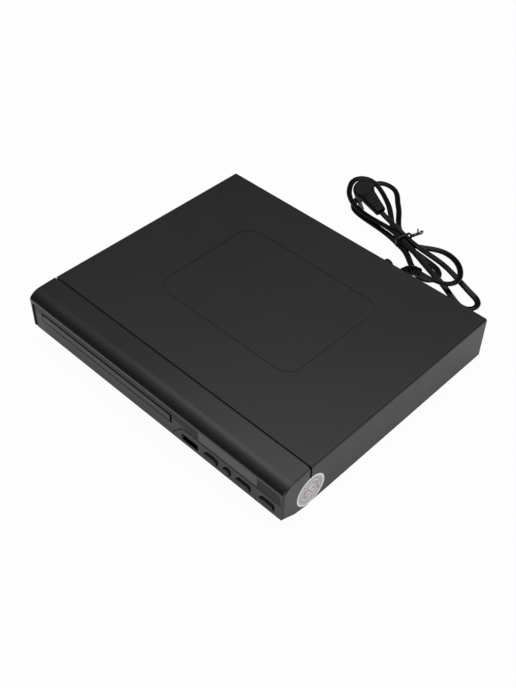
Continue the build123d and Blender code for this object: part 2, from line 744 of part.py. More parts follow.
def make_pickup_sled():
    y0, y1 = sled_start - sled_length / 2, sled_start + sled_length / 2
    body = block(tray_x - 19.0, tray_x + 19.0, y0, y1, plate_low + 0.2, rod_z + 1.6)
    body += block(tray_x - rod_x - 3.0, tray_x + rod_x + 3.0, y0 + 2, y1 - 2, rod_z - 2.1, rod_z + 2.4)
    body += block(tray_x + rod_x, screw_x + 2.0, y0 + 3, y1 - 3, screw_z + lead_radius + 0.2, rod_z + 2.4)
    body -= block(tray_x - 6.0, tray_x + 6.0, y0 + 1.6, y1 - 1.6, rod_z + 0.6, rod_z + 3)
    for side in (-1, 1):
        body -= bar_y(rod_radius + axle_play, tray_x + side * rod_x, y0 - 1, y1 + 1, rod_z)
    return body


def make_pickup_lens():
    lens = post(4.6, tray_x, sled_start, rod_z + 0.6, rod_z + 3.2)
    cap = post(2.9, tray_x, sled_start, rod_z + 3.2, rod_z + 3.8)
    return lens + fillet(cap.faces().sort_by(Axis.Z)[-1].edges(), 0.45)


def make_cam_slider():
    y0, y1 = slider_front, slider_front + slider_thickness
    x0, x1 = pin_x - 7.0, pin_x + slider_travel + 7.0
    plate = block(x0, x1, y0, y1, slider_low, slider_high)
    plate += block(x0 - 10, x0, y0, y1, slider_low, slider_low + 4)
    half = 1.5 + 0.35
    slope = math.atan2(pin_lift, slider_travel)
    length = math.hypot(pin_lift, slider_travel) + 2 * half
    slot = Pos(pin_x + slider_travel / 2, pin_z + pin_lift / 2) * Rot(0, 0, math.degrees(slope)) * SlotOverall(
        length, 2 * half)
    return plate - front_prism(slot, y0 - 1, y1 + 1)


def make_bridge():
    x0, x1 = loader_x
    bridge = block(x0, x1, spindle_y - 19, spindle_y + 19, bridge_low, bridge_top)
    bridge -= post(clamp_hole, tray_x, spindle_y, bridge_low - 1, bridge_top + 1)
    for side in (-1, 1):
        for end in (-1, 1):
            bridge -= post(1.6, tray_x + side * (tray_half + 1.6), spindle_y + end * 14, bridge_low - 1,
                           bridge_top + 1)
    rib = block(x0 + 8, x1 - 8, spindle_y - 19, spindle_y - 18, bridge_top, bridge_top + 2.0)
    return bridge + rib


def make_clamper():
    body = post(clamper_radius, tray_x, spindle_y, bridge_top + 0.3, bridge_top + 1.6)
    body += post(clamp_hole - 0.3, tray_x, spindle_y, bridge_low + 0.1, bridge_top + 1.6)
    body += post(11.0, tray_x, spindle_y, bridge_top + 1.6, bridge_top + 4.0)
    return body - post(8.0, tray_x, spindle_y, bridge_top + 1.6, bridge_top + 5.0)


def make_clamp_magnet():
    return post(7.9, tray_x, spindle_y, bridge_top + 1.6, bridge_top + 3.4) - post(
        3.0, tray_x, spindle_y, bridge_top, bridge_top + 5)


keep("traverse_frame", make_traverse())
keep("loader_frame", joined([parts["loader_frame"]] + make_hinge_posts()))
keep("spindle_motor", make_spindle_motor())
keep("turntable", make_turntable())
keep("guide_rods", make_guide_rods())
keep("sled_motor", make_sled_motor())
keep("lead_screw", make_lead_screw())
keep("pickup_sled", make_pickup_sled())
keep("pickup_lens", make_pickup_lens())
keep("cam_slider", make_cam_slider())
keep("clamp_bridge", make_bridge())
keep("clamper", make_clamper())
keep("clamp_magnet", make_clamp_magnet())


# Boards, sockets and their parts

board_thickness = 1.6
board_low = pan_top + 4.0
board_high = board_low + board_thickness
main_left = loader_x[1] + 3.0
main_board_x = (main_left, main_left + 43.0)
main_board_y = (seam_y + 50.0, rear_y - 4.5)
back_board_x = (-18.0, main_left)
back_board_front = loader_rear + 2.5
power_board_x = (main_board_x[1] + 3.5, half_width - 5.0)
power_board_y = (seam_y + 70.0, rear_y - 4.5)
standoffs = [(main_board_x[1] - 4, main_board_y[0] + 4), (main_board_x[0] + 4, main_board_y[0] + 4),
             (main_board_x[1] - 4, main_board_y[1] - 22), (back_board_x[0] + 4, back_board_front + 4),
             (power_board_x[0] + 4, power_board_y[0] + 4), (power_board_x[1] - 4, power_board_y[0] + 4),
             (power_board_x[1] - 4, power_board_y[1] - 4), (power_board_x[0] + 4, power_board_y[1] - 4)]
front_board_y = inset_y + 9.2
front_board_x = (panel_left + 4.8, half_width - 5.5)
front_board_z = (pan_top + 4.7, top_z - 5.0)
front_posts = [(front_board_x[0] + 3.5, front_board_z[1] - 3.5), (front_board_x[1] - 3.0, front_board_z[1] - 3.5)]
switch_height = 3.5
switch_size = 6.0


def make_main_board():
    board = block(*main_board_x, *main_board_y, board_low, board_high)
    board += block(*back_board_x, back_board_front, main_board_y[1], board_low, board_high)
    return drilled(board)


def drilled(board):
    for x, y in standoffs:
        board -= post(screw_shank_radius + 0.1, x, y, board_low - 1, board_high + 1)
    return board


def chip(x, y, width, depth, height):
    """A flat chip standing on the boards."""
    return block(x - width / 2, x + width / 2, y - depth / 2, y + depth / 2, board_high, board_high + height)


def can(x, y, radius, height):
    """An upright capacitor with a rounded top."""
    body = post(radius, x, y, board_high, board_high + height)
    return fillet(body.faces().sort_by(Axis.Z)[-1].edges(), 0.5)


main_mid = sum(main_board_x) / 2
main_front, main_rear = main_board_y
main_chips = [(main_mid, main_front + 24.0, 20.0, 20.0, 1.6), (main_mid - 12.0, main_front + 49.0, 8.0, 18.0, 1.2),
              (main_mid + 8.0, main_front + 47.0, 8.0, 10.0, 1.4), (main_mid + 12.0, main_front + 63.0, 10.0, 8.0, 1.4),
              (main_mid - 2.0, main_front + 78.0, 12.0, 12.0, 1.2), (main_left - 25.2, main_rear - 14.5, 8.0, 6.0, 1.2)]
main_cans = [(main_mid + 16.0, main_front + 34.0 + 9.0 * n, 2.5, 8.0) for n in range(3)] + [
    (main_mid - 15.0, main_front + 66.0 + 9.0 * n, 3.15, 9.0) for n in range(3)] + [
    (main_left - 13.2, main_rear - 16.0, 2.5, 8.0)]
power_mid = sum(power_board_x) / 2
power_front, power_rear = power_board_y
transformer_y = power_rear - 52.0


def make_transformer():
    x, y = power_mid - 3, transformer_y
    core = block(x - 11, x + 11, y - 9.5, y + 9.5, board_high + 3, board_high + 17)
    coil = post(8.5, x, y, board_high, board_high + 18.5)
    return core + coil


def make_heat_sink():
    x, y = power_board_x[1] - 3.5, transformer_y
    base = block(x - 1.0, x + 1.0, y - 12, y + 12, board_high, board_high + 18)
    fins = [block(x - 3.4, x - 1.0, y - 12 + n * 5.75, y - 11 + n * 5.75, board_high + 4, board_high + 18)
            for n in range(5)]
    return joined([base] + fins)


def make_power_parts():
    x0, rear = power_board_x[0], power_rear - 6.0
    clips = [block(x0 + 4.5, x0 + 9.5, y, y + 2.0, board_high, board_high + 4) for y in (rear - 16.5, rear - 3.5)]
    fuse = joined([bar_y(2.6, x0 + 7, rear - 18.0, rear, board_high + 4.2)] + clips)
    choke = block(x0 + 14, x0 + 26, rear - 11.0, rear, board_high, board_high + 14)
    outputs = [can(x0 + 7 + 10.5 * n, power_front + 13.0, 4.0, 12.0) for n in range(3)]
    plug_row = block(x0 + 8, x0 + 24, power_front + 1.5, power_front + 6.5, board_high, board_high + 7)
    return group([fuse, choke, plug_row] + outputs)


def make_bulk_capacitor():
    body = post(7.8, power_board_x[1] - 9.5, power_rear - 29.5, board_high, board_high + 21.0)
    return fillet(body.faces().sort_by(Axis.Z)[-1].edges(), 0.9)


jack_body_y = (rear_y - 16.0, pan_rear - 0.1)


def make_jack_body():
    xs = [x for x, z in jack_places.values()]
    top = jack_places["video"][1] + 5.0
    low_top = jack_places["audio_left"][1] + 5.4
    body = block(min(xs) - 5.8, max(xs) + 5.8, *jack_body_y, board_high, low_top)
    body += block(max(xs) - 5.8, max(xs) + 5.8, *jack_body_y, low_top, top)
    return body


def make_jack_sleeves():
    sleeves = []
    for x, z in jack_places.values():
        sleeve = bar_y(jack_radius, x, rear_y, rear_y + jack_reach, z)
        sleeve += bar_y(jack_radius - 0.2, x, jack_body_y[1], rear_y, z)
        sleeves.append(sleeve - bar_y(jack_radius - 0.7, x, jack_body_y[1] + 1, rear_y + jack_reach + 1, z))
    return group(sleeves)


def make_jack_inserts():
    inserts = []
    for x, z in jack_places.values():
        insert = bar_y(jack_radius - 0.75, x, jack_body_y[1] + 1, rear_y + jack_reach - 0.6, z)
        inserts.append(insert - bar_y(jack_bore_radius, x, jack_body_y[1] + 2, rear_y + jack_reach, z))
    return group(inserts)


def make_hdmi():
    y0, y1 = rear_y - 11.0, rear_y + 0.3
    x0, x1 = hdmi_x - hdmi_width / 2, hdmi_x + hdmi_width / 2
    z0, z1 = hdmi_z - hdmi_height / 2, hdmi_z + hdmi_height / 2
    shell = block(x0, x1, y0, y1, z0, z1) - block(x0 + 0.5, x1 - 0.5, y0 + 4, y1 + 1, z0 + 0.5, z1 - 0.5)
    return shell + block(x0 + 2.5, x1 - 2.5, y0 + 3, y1 - 4.6, hdmi_z - 0.5, hdmi_z + 0.5)


def make_usb():
    z = top_z - usb_drop
    y0, y1 = panel_face + 0.3, front_board_y
    x0, x1 = usb_x - usb_width / 2 + 0.4, usb_x + usb_width / 2 - 0.4
    z0, z1 = z - usb_height / 2 + 0.05, z + usb_height / 2 - 0.05
    shell = block(x0, x1, y0, y1, z0, z1) - block(x0 + 0.35, x1 - 0.35, y0 - 1, y1 - 1.2, z0 + 0.35, z1 - 0.35)
    return shell + block(x0 + 0.9, x1 - 0.9, y0 + 4.6, y1 - 0.6, z1 - 2.4, z1 - 0.8)


def make_front_board():
    board = block(*front_board_x, front_board_y, front_board_y + board_thickness, *front_board_z)
    for x, z in front_posts:
        board -= bar_y(screw_shank_radius + 0.1, x, front_board_y - 1, front_board_y + 3, z)
    return board


def make_switches():
    z = top_z - key_drop
    low = front_board_z[0] + 0.1
    switches = []
    for x in [panel_place(share) for share in key_shares.values()]:
        y = front_board_y
        body = block(x - switch_size / 2, x + switch_size / 2, y - switch_height, y, low, low + switch_size)
        tip = bar_y(1.7, x, key_back + key_collar + key_travel + 0.05, y - switch_height, z)
        switches.append(body + tip)
    return group(switches)


def make_display():
    low = window_top - window_height + 0.4
    half = window_width / 2 - 2.5
    return block(window_x - half, window_x + half, inset_y + 1.7, front_board_y, low + 1.0, window_top - 0.4)


def make_receiver():
    x, z = half_width - 16.0, window_top - 4.6
    body = block(x - 3.0, x + 3.0, front_board_y - 4.0, front_board_y, z - 3.5, z + 3.0)
    return body + bar_y(2.2, x, front_board_y - 5.2, front_board_y - 3.9, z)


def make_screws():
    """Board and bridge screws, heads down on what they hold."""
    screws = []
    for x, y in standoffs:
        screw = post(2.6, x, y, board_high, board_high + 1.4) + post(screw_shank_radius, x, y, board_low, board_high)
        screws.append(screw - block(x - 1.5, x + 1.5, y - 0.3, y + 0.3, board_high + 0.8, board_high + 2))
    for x, z in front_posts:
        y = front_board_y + board_thickness
        screws.append(bar_y(2.6, x, y, y + 1.4, z) + bar_y(screw_shank_radius, x, front_board_y, y, z))
    return screws


def make_ribbon():
    """The flat lead from the front board back to the main board."""
    x0, x1 = main_board_x[0] + 14, main_board_x[0] + 30
    y0, y1 = front_board_y + board_thickness, main_board_y[0] + 3
    z = board_high + 5.0
    strip = block(x0, x1, y0, y1, z, z + 0.4)
    socket = block(x0 - 1, x1 + 1, y1, y1 + 4, board_high, z + 1.4)
    return strip + socket


keep("board_standoffs", group(post(3.2, x, y, pan_top, board_low) for x, y in standoffs))
posts = [bar_y(3.0, x, front_y + bezel_wall - 0.4, front_board_y, z) for x, z in front_posts]
keep("front_bezel", joined([parts["front_bezel"]] + posts))
keep("screws", group(list(parts.pop("case_screws").solids()) + make_screws()))
keep("main_board", make_main_board())
keep("main_chips", group(chip(*place) for place in main_chips))
keep("main_capacitors", group(can(*place) for place in main_cans))
keep("power_board", drilled(block(*power_board_x, *power_board_y, board_low, board_high)))
keep("transformer", make_transformer())
keep("bulk_capacitor", make_bulk_capacitor())
keep("heat_sink", make_heat_sink())
keep("power_parts", make_power_parts())
keep("jack_body", make_jack_body())
keep("jack_sleeves", make_jack_sleeves())
keep("jack_inserts", make_jack_inserts())
keep("hdmi_socket", make_hdmi())
keep("usb_socket", make_usb())
keep("front_board", make_front_board())
keep("key_switches", make_switches())
keep("display_module", make_display())
keep("ir_receiver", make_receiver())
keep("front_ribbon", make_ribbon())


# Mains cord: strain relief, the lead round to the tie, the tied hank and the plug.
# The cord is a flat twin, five wide and under three thick. Its solid here is a round tube of like section.

cord_radius = 1.7
bush_run = 10.5
bush_tip = (46.5, rear_y + 23.0, 20.5)
bush_core = 2.9
bush_ribs = 7
rib_radius = (4.5, 3.4)
rib_thickness = 1.7
first_rib = 3.6
tip_bare = 0.3
lead_gap = 0.05
lead_run = 5.5
tie = (4.5, seam_y + 236.0)
bundle = (0.956, -0.293)
tie_half = 5.0
lower_slot = 2.7
upper_slot = 7.1
lying = 1.9
slots = {"lead": (4.6, lower_slot), "wide": (-4.6, lower_slot), "cross": (0.0, lower_slot),
         "over": (-2.3, upper_slot), "plug": (2.3, upper_slot)}
# each loop: the slots it leaves and enters by, its side, and its places and headings along and across the hank
hank_loops = [
    ("lead", "wide", -1, [((-41.0, 24.0, lying), (-0.9, 0.43)), ((-60.5, 34.0, lying), (-1.0, 0.12)),
                          ((-75.0, 23.5, lying), (0.2, -1.0)), ((-67.5, 6.0, lying), (0.36, -0.93)),
                          ((-61.0, -5.5, lying), (0.62, -0.78)), ((-49.0, -10.4, lying), (1.0, 0.08))]),
    ("wide", "cross", 1, [((38.2, -13.0, lying), (1.0, 0.0)), ((47.0, -4.2, lying), (0.0, 1.0)),
                          ((38.2, 4.6, lying), (-1.0, 0.0))]),
    ("cross", "over", -1, [((-44.0, 15.2, 6.0), (-0.95, 0.3)), ((-72.5, 21.4, 6.0), (-1.0, 0.02)),
                           ((-83.6, 11.0, 6.0), (0.1, -1.0)), ((-74.0, -2.0, 6.0), (0.76, -0.65)),
                           ((-60.0, -9.0, 6.0), (0.96, -0.28)), ((-46.0, -10.0, 6.2), (1.0, 0.06))]),
    ("over", "plug", 1, [((51.0, -5.0, 6.0), (1.0, 0.0)), ((78.2, -5.6, lying), (1.0, 0.0)),
                         ((86.0, 2.2, lying), (0.0, 1.0)), ((78.2, 10.0, lying), (-1.0, 0.0)),
                         ((44.0, 8.4, 6.2), (-1.0, 0.0))]),
]
lead_join = (16.5, 13.8, 2.7)
lead_route = [(52.8, 123.8, 14.5), (56.6, 126.8, 12.6), (61.2, 129.9, 11.2), (64.9, 134.4, 10.5),
              (65.7, 141.0, 10.0), (62.9, 148.0, 9.5), (58.4, 154.2, 8.4), (52.3, 160.2, 6.9),
              (44.8, 164.9, 5.3), (37.0, 167.4, 3.9), (30.0, 167.0, 3.0)]
plug_neck_place = (-25.6, -5.3, 17.0)
plug_turn = 0.05
plug_dip = 0.233
plug_roll = math.radians(26.0)
head_radius = 8.2
head_thickness = 10.0
neck_length = 23.4
blade_length = 16.0
blade_width = 6.3
blade_thickness = 1.5
blade_spacing = 12.7


def hank_point(along, across, height):
    """A place given along and across the tied bundle, as a point."""
    return Vector(tie[0] + along * bundle[0] - across * bundle[1],
                  tie[1] + along * bundle[1] + across * bundle[0], height)


def heading(along, across=0.0, up=0.0):
    return Vector(along * bundle[0] - across * bundle[1], along * bundle[1] + across * bundle[0], up).normalized()


def biarc(start, leave, end, arrive):
    """Two tangent arcs from one point and heading to another."""
    if (leave - arrive).length < 1e-6 and (end - start).normalized().cross(leave).length < 1e-6:
        return [Line(start, end)]
    span, both = end - start, leave + arrive
    share = 2 * (1 - leave.dot(arrive))
    if share < 1e-9:
        reach = span.dot(span) / (4 * span.dot(arrive))
    else:
        reach = (-span.dot(both) + math.sqrt(span.dot(both) ** 2 + share * span.dot(span))) / share
    middle = (start + end + (leave - arrive) * reach) * 0.5
    turn = (end - arrive * reach - middle).normalized()
    return [TangentArc(start, middle, tangent=leave), TangentArc(middle, end, tangent=turn)]


def loop_stations(loop):
    """Places and headings round one loop of the hank, from its first slot to its last."""
    first, last, side, places = loop
    stations = [(hank_point(side * tie_half, *slots[first]), heading(side))]
    stations += [(hank_point(*place), heading(*way)) for place, way in places]
    return stations + [(hank_point(side * tie_half, *slots[last]), heading(-side))]


def plug_frame():
    """The plug's neck end, the way its cord leaves it, and the way its blades point."""
    neck = hank_point(*plug_neck_place)
    level = heading(1.0, plug_turn)
    leave = Vector(level.X * math.cos(plug_dip), level.Y * math.cos(plug_dip), -math.sin(plug_dip))
    across = Vector(-level.Y, level.X, 0)
    blades = leave.cross(across) * -math.cos(plug_roll) + across * math.sin(plug_roll)
    return neck, leave, blades


def hank_stations():
    start = hank_point(*lead_join)
    arrive = (start - Vector(*lead_route[-1])).normalized()
    stations = [(start, arrive), (hank_point(tie_half, *slots["lead"]), heading(-1))]
    for loop in hank_loops:
        stations += loop_stations(loop)
    neck, leave, blades = plug_frame()
    return stations + [(hank_point(-tie_half, *slots["plug"]), heading(-1)), (neck, -leave)]


def tube(edges, start, way, name):
    """A round tube along edges, with its least radius, length and volume printed."""
    path = Wire(edges)
    section = Plane(start, z_dir=way) * Circle(cord_radius)
    solid = sweep(section, path=path)
    solid = solid.solids()[0] if len(solid.solids()) == 1 else solid
    radii = sorted(e.radius for e in path.edges() if e.geom_type == GeomType.CIRCLE)
    print(name, "length", round(path.length, 1), "least radii", [round(r, 1) for r in radii[:4]],
          "volume share", round(solid.volume / (math.pi * cord_radius ** 2 * path.length), 4),
          "lowest", round(solid.bounding_box().min.Z, 2))
    return solid, path


def least_gap(path, name):
    """The least gap between stretches of the cord that aren't neighbours, measured on points."""
    count = int(path.length)
    points = [path @ (n / count) for n in range(count + 1)]
    apart = int(6 * cord_radius) + 4
    gaps = [((points[a] - points[b]).length - 2 * cord_radius, a, b)
            for a in range(count) for b in range(a + apart, count + 1)]
    print(name, "least gap to itself", round(min(gaps)[0], 2), "at", min(gaps)[1:])


def make_hank():
    stations = hank_stations()
    edges = []
    for (start, leave), (end, arrive) in zip(stations, stations[1:]):
        if (end - start).length > 0.01:
            edges += biarc(start, leave, end, arrive)
    solid, path = tube(edges, stations[0][0], stations[0][1], "hank")
    least_gap(path, "hank")
    return solid


def make_lead():
    boot = boot_path()
    points = [boot @ 1 + (boot % 1) * lead_gap, boot @ 1 + (boot % 1) * lead_run]
    points += [Vector(*p) for p in lead_route]
    points.append(hank_point(*lead_join))
    spare = [1.8] + [1.0] * (len(points) - 1)
    radii = []
    for before, corner, after, share in zip(points, points[1:], points[2:], spare):
        run = min(share * (corner - before).length, (after - corner).length)
        turn = math.radians((corner - before).get_angle(after - corner))
        radii.append(0.45 * run / math.tan(turn / 2))
    print("lead corner radii", [round(r, 1) for r in radii])
    path = FilletPolyline(*points, radius=radii)
    return tube(path.edges(), points[0], points[1] - points[0], "lead")[0]


def boot_path():
    """The boot's line: straight out of the rear, then over to the side and down."""
    root, knee = Vector(bush_x, rear_y, bush_z), Vector(bush_x, rear_y + bush_run, bush_z)
    return Wire([Line(root, knee), TangentArc(knee, Vector(*bush_tip), tangent=(0, 1, 0))])


def make_bush():
    """Strain relief: a collar gripping the rear panel and a bent, tapered boot of ribs on a thin core."""
    y0 = pan_rear
    body = bar_y(bush_hole_radius - 0.05, bush_x, y0 - 4.0, rear_y + 0.1, bush_z)
    body += bar_y(bush_hole_radius + 1.4, bush_x, y0 - 3.0, y0, bush_z)
    body += bar_y(bush_hole_radius + 1.2, bush_x, pan_rear + sheet, rear_y + 1.4, bush_z)
    line = boot_path()
    body += sweep(Plane(line @ 0, z_dir=(0, 1, 0)) * Circle(bush_core), path=line)
    for n in range(bush_ribs):
        share = n / (bush_ribs - 1)
        spread = line.length - first_rib - tip_bare - rib_thickness / 2
        place = (first_rib + share * spread) / line.length
        radius = rib_radius[0] + share * (rib_radius[1] - rib_radius[0])
        body += Plane(line @ place, z_dir=line % place) * Cylinder(radius, rib_thickness)
    return body


def plug_place():
    """The plug's own frame: X towards the cord, Y across the blades, Z away from the blades."""
    neck, leave, blades = plug_frame()
    centre = neck - leave * neck_length
    return Location(Plane(centre, x_dir=leave, z_dir=-blades))


def make_plug():
    head = fillet(Cylinder(head_radius, head_thickness).edges(), 2.4)
    neck_start = Plane((head_radius - 3.0, 0, 0), x_dir=(0, 1, 0), z_dir=(1, 0, 0)) * RectangleRounded(12.4, 8.6, 2.6)
    neck_end = Plane((neck_length, 0, 0), x_dir=(0, 1, 0), z_dir=(1, 0, 0)) * RectangleRounded(8.4, 6.0, 2.4)
    body = head + loft([neck_start.face(), neck_end.face()])
    for n in range(4):
        x = head_radius + 1.6 + n * 3.2
        for side in (-1, 1):
            body -= Pos(x, 0, side * (4.35 - n * 0.27)) * Box(1.2, 6.4 - n * 0.5, 1.6)
    return plug_place() * body


def make_blades():
    blades = []
    for side in (-1, 1):
        blade = Pos(0, side * blade_spacing / 2, -head_thickness / 2 - blade_length / 2) * Box(
            blade_width, blade_thickness, blade_length)
        blade = fillet(blade.edges().filter_by(Axis.Y).group_by(Axis.Z)[0], 1.2)
        hole = Pos(0, side * blade_spacing / 2, -head_thickness / 2 - blade_length + 3.5) * Rot(
            90, 0, 0) * Cylinder(1.5, 5)
        blades.append(plug_place() * (blade - hole))
    return group(blades)


def make_tie():
    """A twisted wire tie: a flat band round the bundle, its twisted ends and the small loop they make."""
    across, low, high = 4.6 + cord_radius + 0.9, 0.2, upper_slot + cord_radius + 0.9
    plane = Plane(hank_point(0, 0, (low + high) / 2), x_dir=heading(0, 1), z_dir=heading(-1))
    outline = RectangleRounded(2 * across, high - low, 2.6)
    hollow = RectangleRounded(2 * across - 1.2, high - low - 1.2, 2.0)
    band = extrude(plane * (outline - hollow), amount=1.1, both=True)
    twist = Plane(hank_point(0, across - 0.4, 6.0), z_dir=heading(0, 1)) * Cylinder(
        0.95, 7.0, align=(Align.CENTER, Align.CENTER, Align.MIN))
    ring = Pos(*hank_point(0, across + 7.9, 6.0)) * Torus(1.7, 0.5)
    return band + twist + ring


keep("cord_bush", make_bush())
keep("cord_lead", make_lead())
keep("cord_hank", make_hank())
keep("plug_body", make_plug())
keep("plug_blades", make_blades())
keep("twist_tie", make_tie())
for name in ("plug_body", "plug_blades", "twist_tie"):
    print(name, "lowest", round(parts[name].bounding_box().min.Z, 2))

os.makedirs("parts", exist_ok=True)
for name, shape in parts.items():
    export_step(shape, f"parts/{name}.step")
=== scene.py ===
import math

import bmesh
import bpy
from mathutils import Matrix, Vector


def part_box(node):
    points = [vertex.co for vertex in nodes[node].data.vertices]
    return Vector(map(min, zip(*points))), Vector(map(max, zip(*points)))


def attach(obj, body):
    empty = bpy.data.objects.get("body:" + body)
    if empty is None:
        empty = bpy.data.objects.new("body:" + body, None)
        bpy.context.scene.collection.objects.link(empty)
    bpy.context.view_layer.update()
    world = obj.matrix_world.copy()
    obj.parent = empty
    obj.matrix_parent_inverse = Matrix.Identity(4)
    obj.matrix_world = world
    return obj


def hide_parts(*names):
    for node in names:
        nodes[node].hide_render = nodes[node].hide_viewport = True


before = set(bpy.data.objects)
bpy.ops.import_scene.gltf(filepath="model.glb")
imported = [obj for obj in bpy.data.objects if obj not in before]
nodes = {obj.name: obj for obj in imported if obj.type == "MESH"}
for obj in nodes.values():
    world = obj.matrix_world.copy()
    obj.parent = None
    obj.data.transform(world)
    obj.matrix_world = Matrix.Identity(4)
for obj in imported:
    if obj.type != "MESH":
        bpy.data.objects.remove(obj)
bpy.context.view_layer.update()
scene = bpy.context.scene

# the scene is in metres, in the frame of the CAD parts; a dictionary says where it holds millimetres
mm = 0.001
grooveWidth = 1.6 * mm  # between bezel and cover
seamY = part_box("top_cover")[0][1] - grooveWidth
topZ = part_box("top_cover")[1][2]


def lin(value):
    # display grey or colour, 0 to 255, to the linear value that renders as it
    value = value / 255
    return value / 12.92 if value <= 0.04045 else ((value + 0.055) / 1.055) ** 2.4


def shade(*rgb):
    rgb = rgb * 3 if len(rgb) == 1 else rgb
    return (lin(rgb[0]), lin(rgb[1]), lin(rgb[2]), 1.0)


# camera, at the photograph's angle
view = {
    "offset": (329.23, -270.64, 437.37),  # mm from the groove's middle, at the top of the case
    "yaw": 43.24,  # degrees
    "pitch": 44.70,
    "roll": 1.13,
    "lens": 50.97,
    "sensor": 36.0,
    "nearest": 0.01,
}


def makeCamera():
    yaw, pitch, roll = (math.radians(view[k]) for k in ("yaw", "pitch", "roll"))
    ahead = Vector((-math.sin(yaw) * math.cos(pitch), math.cos(yaw) * math.cos(pitch), -math.sin(pitch)))
    level = Vector((math.cos(yaw), math.sin(yaw), 0))
    upright = level.cross(ahead)
    right = level * math.cos(roll) + upright * math.sin(roll)
    up = upright * math.cos(roll) - level * math.sin(roll)
    camData = bpy.data.cameras.new("photoCamera")
    camData.lens = view["lens"]
    camData.sensor_width = view["sensor"]
    camData.clip_start = view["nearest"]
    cam = bpy.data.objects.new("photoCamera", camData)
    scene.collection.objects.link(cam)
    place = Vector(view["offset"]) * mm + Vector((0, seamY, topZ))
    turn = Matrix((right, up, -ahead)).transposed()
    cam.matrix_world = Matrix.Translation(place) @ turn.to_4x4()
    scene.camera = cam


makeCamera()
print("camera set")


# small helpers for node trees
def calc(tree, operation, *values):
    # one math node, fed by sockets or plain numbers
    node = tree.nodes.new("ShaderNodeMath")
    node.operation = operation
    for socket, value in zip(node.inputs, values):
        if isinstance(value, (int, float)):
            socket.default_value = value
        else:
            tree.links.new(value, socket)
    return node.outputs[0]


def mixShaders(tree, share, plain, other):
    node = tree.nodes.new("ShaderNodeMixShader")
    for socket, source in zip(node.inputs, (share, plain, other)):
        tree.links.new(source, socket)
    return node.outputs[0]


def mixColours(tree, share, low, high):
    # a colour between two others, each a socket or a plain colour
    node = tree.nodes.new("ShaderNodeMix")
    node.data_type = "RGBA"
    tree.links.new(share, node.inputs[0])
    for socket, colour in ((node.inputs[6], low), (node.inputs[7], high)):
        if isinstance(colour, (list, tuple)):
            socket.default_value = colour
        else:
            tree.links.new(colour, socket)
    return node.outputs[2]


def lightPath(tree):
    # masks of what the camera sees and of what shiny surfaces see
    path = tree.nodes.new("ShaderNodeLightPath")
    shiny = calc(tree, "MAXIMUM", path.outputs["Is Glossy Ray"], path.outputs["Is Transmission Ray"])
    return path.outputs["Is Camera Ray"], shiny


# lights and world
studio = {
    "world": 0.42,
    "overhead": {"at": (-0.1, 0.2, 1.5), "size": 1.6, "power": 6.5},
    "front": {"at": (0.7, -1.25, 0.55), "size": 0.8, "power": 4.0},
    "side": {"at": (1.4, 0.3, 0.5), "size": 0.8, "power": 3.5},
    "aim": (0.0, 0.0, 0.02),
    # what shiny surfaces see of the room: sine of the sight line's height, and brightness there
    "room": [(0.0, 0.55), (0.08, 0.5), (0.15, 0.1), (0.3, 0.02),
             (0.5, 0.04), (0.65, 0.22), (0.75, 0.36), (0.88, 0.76)],
}
floorLook = {
    "reach": 6.0,
    "below": 0.0002,  # under the lowest piece
    "paint": 0.96,
    "rough": 0.9,
    "seen": 0.96,  # share of plain white that the camera sees
    "mirrored": 0.1,  # and that shiny surfaces see
}


def areaLight(name, setting):
    light = bpy.data.lights.new(name, "AREA")
    light.shape = "DISK"
    light.size = setting["size"]
    light.energy = setting["power"]
    lamp = bpy.data.objects.new(name, light)
    scene.collection.objects.link(lamp)
    lamp.location = setting["at"]
    toAim = Vector(studio["aim"]) - Vector(setting["at"])
    lamp.rotation_euler = toAim.to_track_quat("-Z", "Y").to_euler()


def whiteAround(tree, strength=1.0):
    node = tree.nodes.new("ShaderNodeBackground")
    node.inputs["Color"].default_value = (1, 1, 1, 1)
    node.inputs["Strength"].default_value = strength
    return node


def roomAround(tree):
    # the darker room with its bright ceiling and horizon, for shiny surfaces alone
    coord = tree.nodes.new("ShaderNodeTexCoord")
    parts = tree.nodes.new("ShaderNodeSeparateXYZ")
    ramp = tree.nodes.new("ShaderNodeValToRGB")
    stops = ramp.color_ramp.elements
    while len(stops) < len(studio["room"]):
        stops.new(0.5)
    for stop, (height, bright) in zip(stops, studio["room"]):
        stop.position = height
        stop.color = (bright, bright, bright, 1)
    room = whiteAround(tree)
    tree.links.new(coord.outputs["Generated"], parts.inputs[0])
    tree.links.new(parts.outputs["Z"], ramp.inputs[0])
    tree.links.new(ramp.outputs["Color"], room.inputs["Color"])
    return room


def makeWorld():
    world = bpy.data.worlds.new("studio")
    scene.world = world
    world.use_nodes = True
    tree = world.node_tree
    tree.nodes.clear()
    out = tree.nodes.new("ShaderNodeOutputWorld")
    soft, room, backdrop = whiteAround(tree, studio["world"]), roomAround(tree), whiteAround(tree)
    camera, shiny = lightPath(tree)
    lit = mixShaders(tree, shiny, soft.outputs[0], room.outputs[0])
    tree.links.new(mixShaders(tree, camera, lit, backdrop.outputs[0]), out.inputs[0])


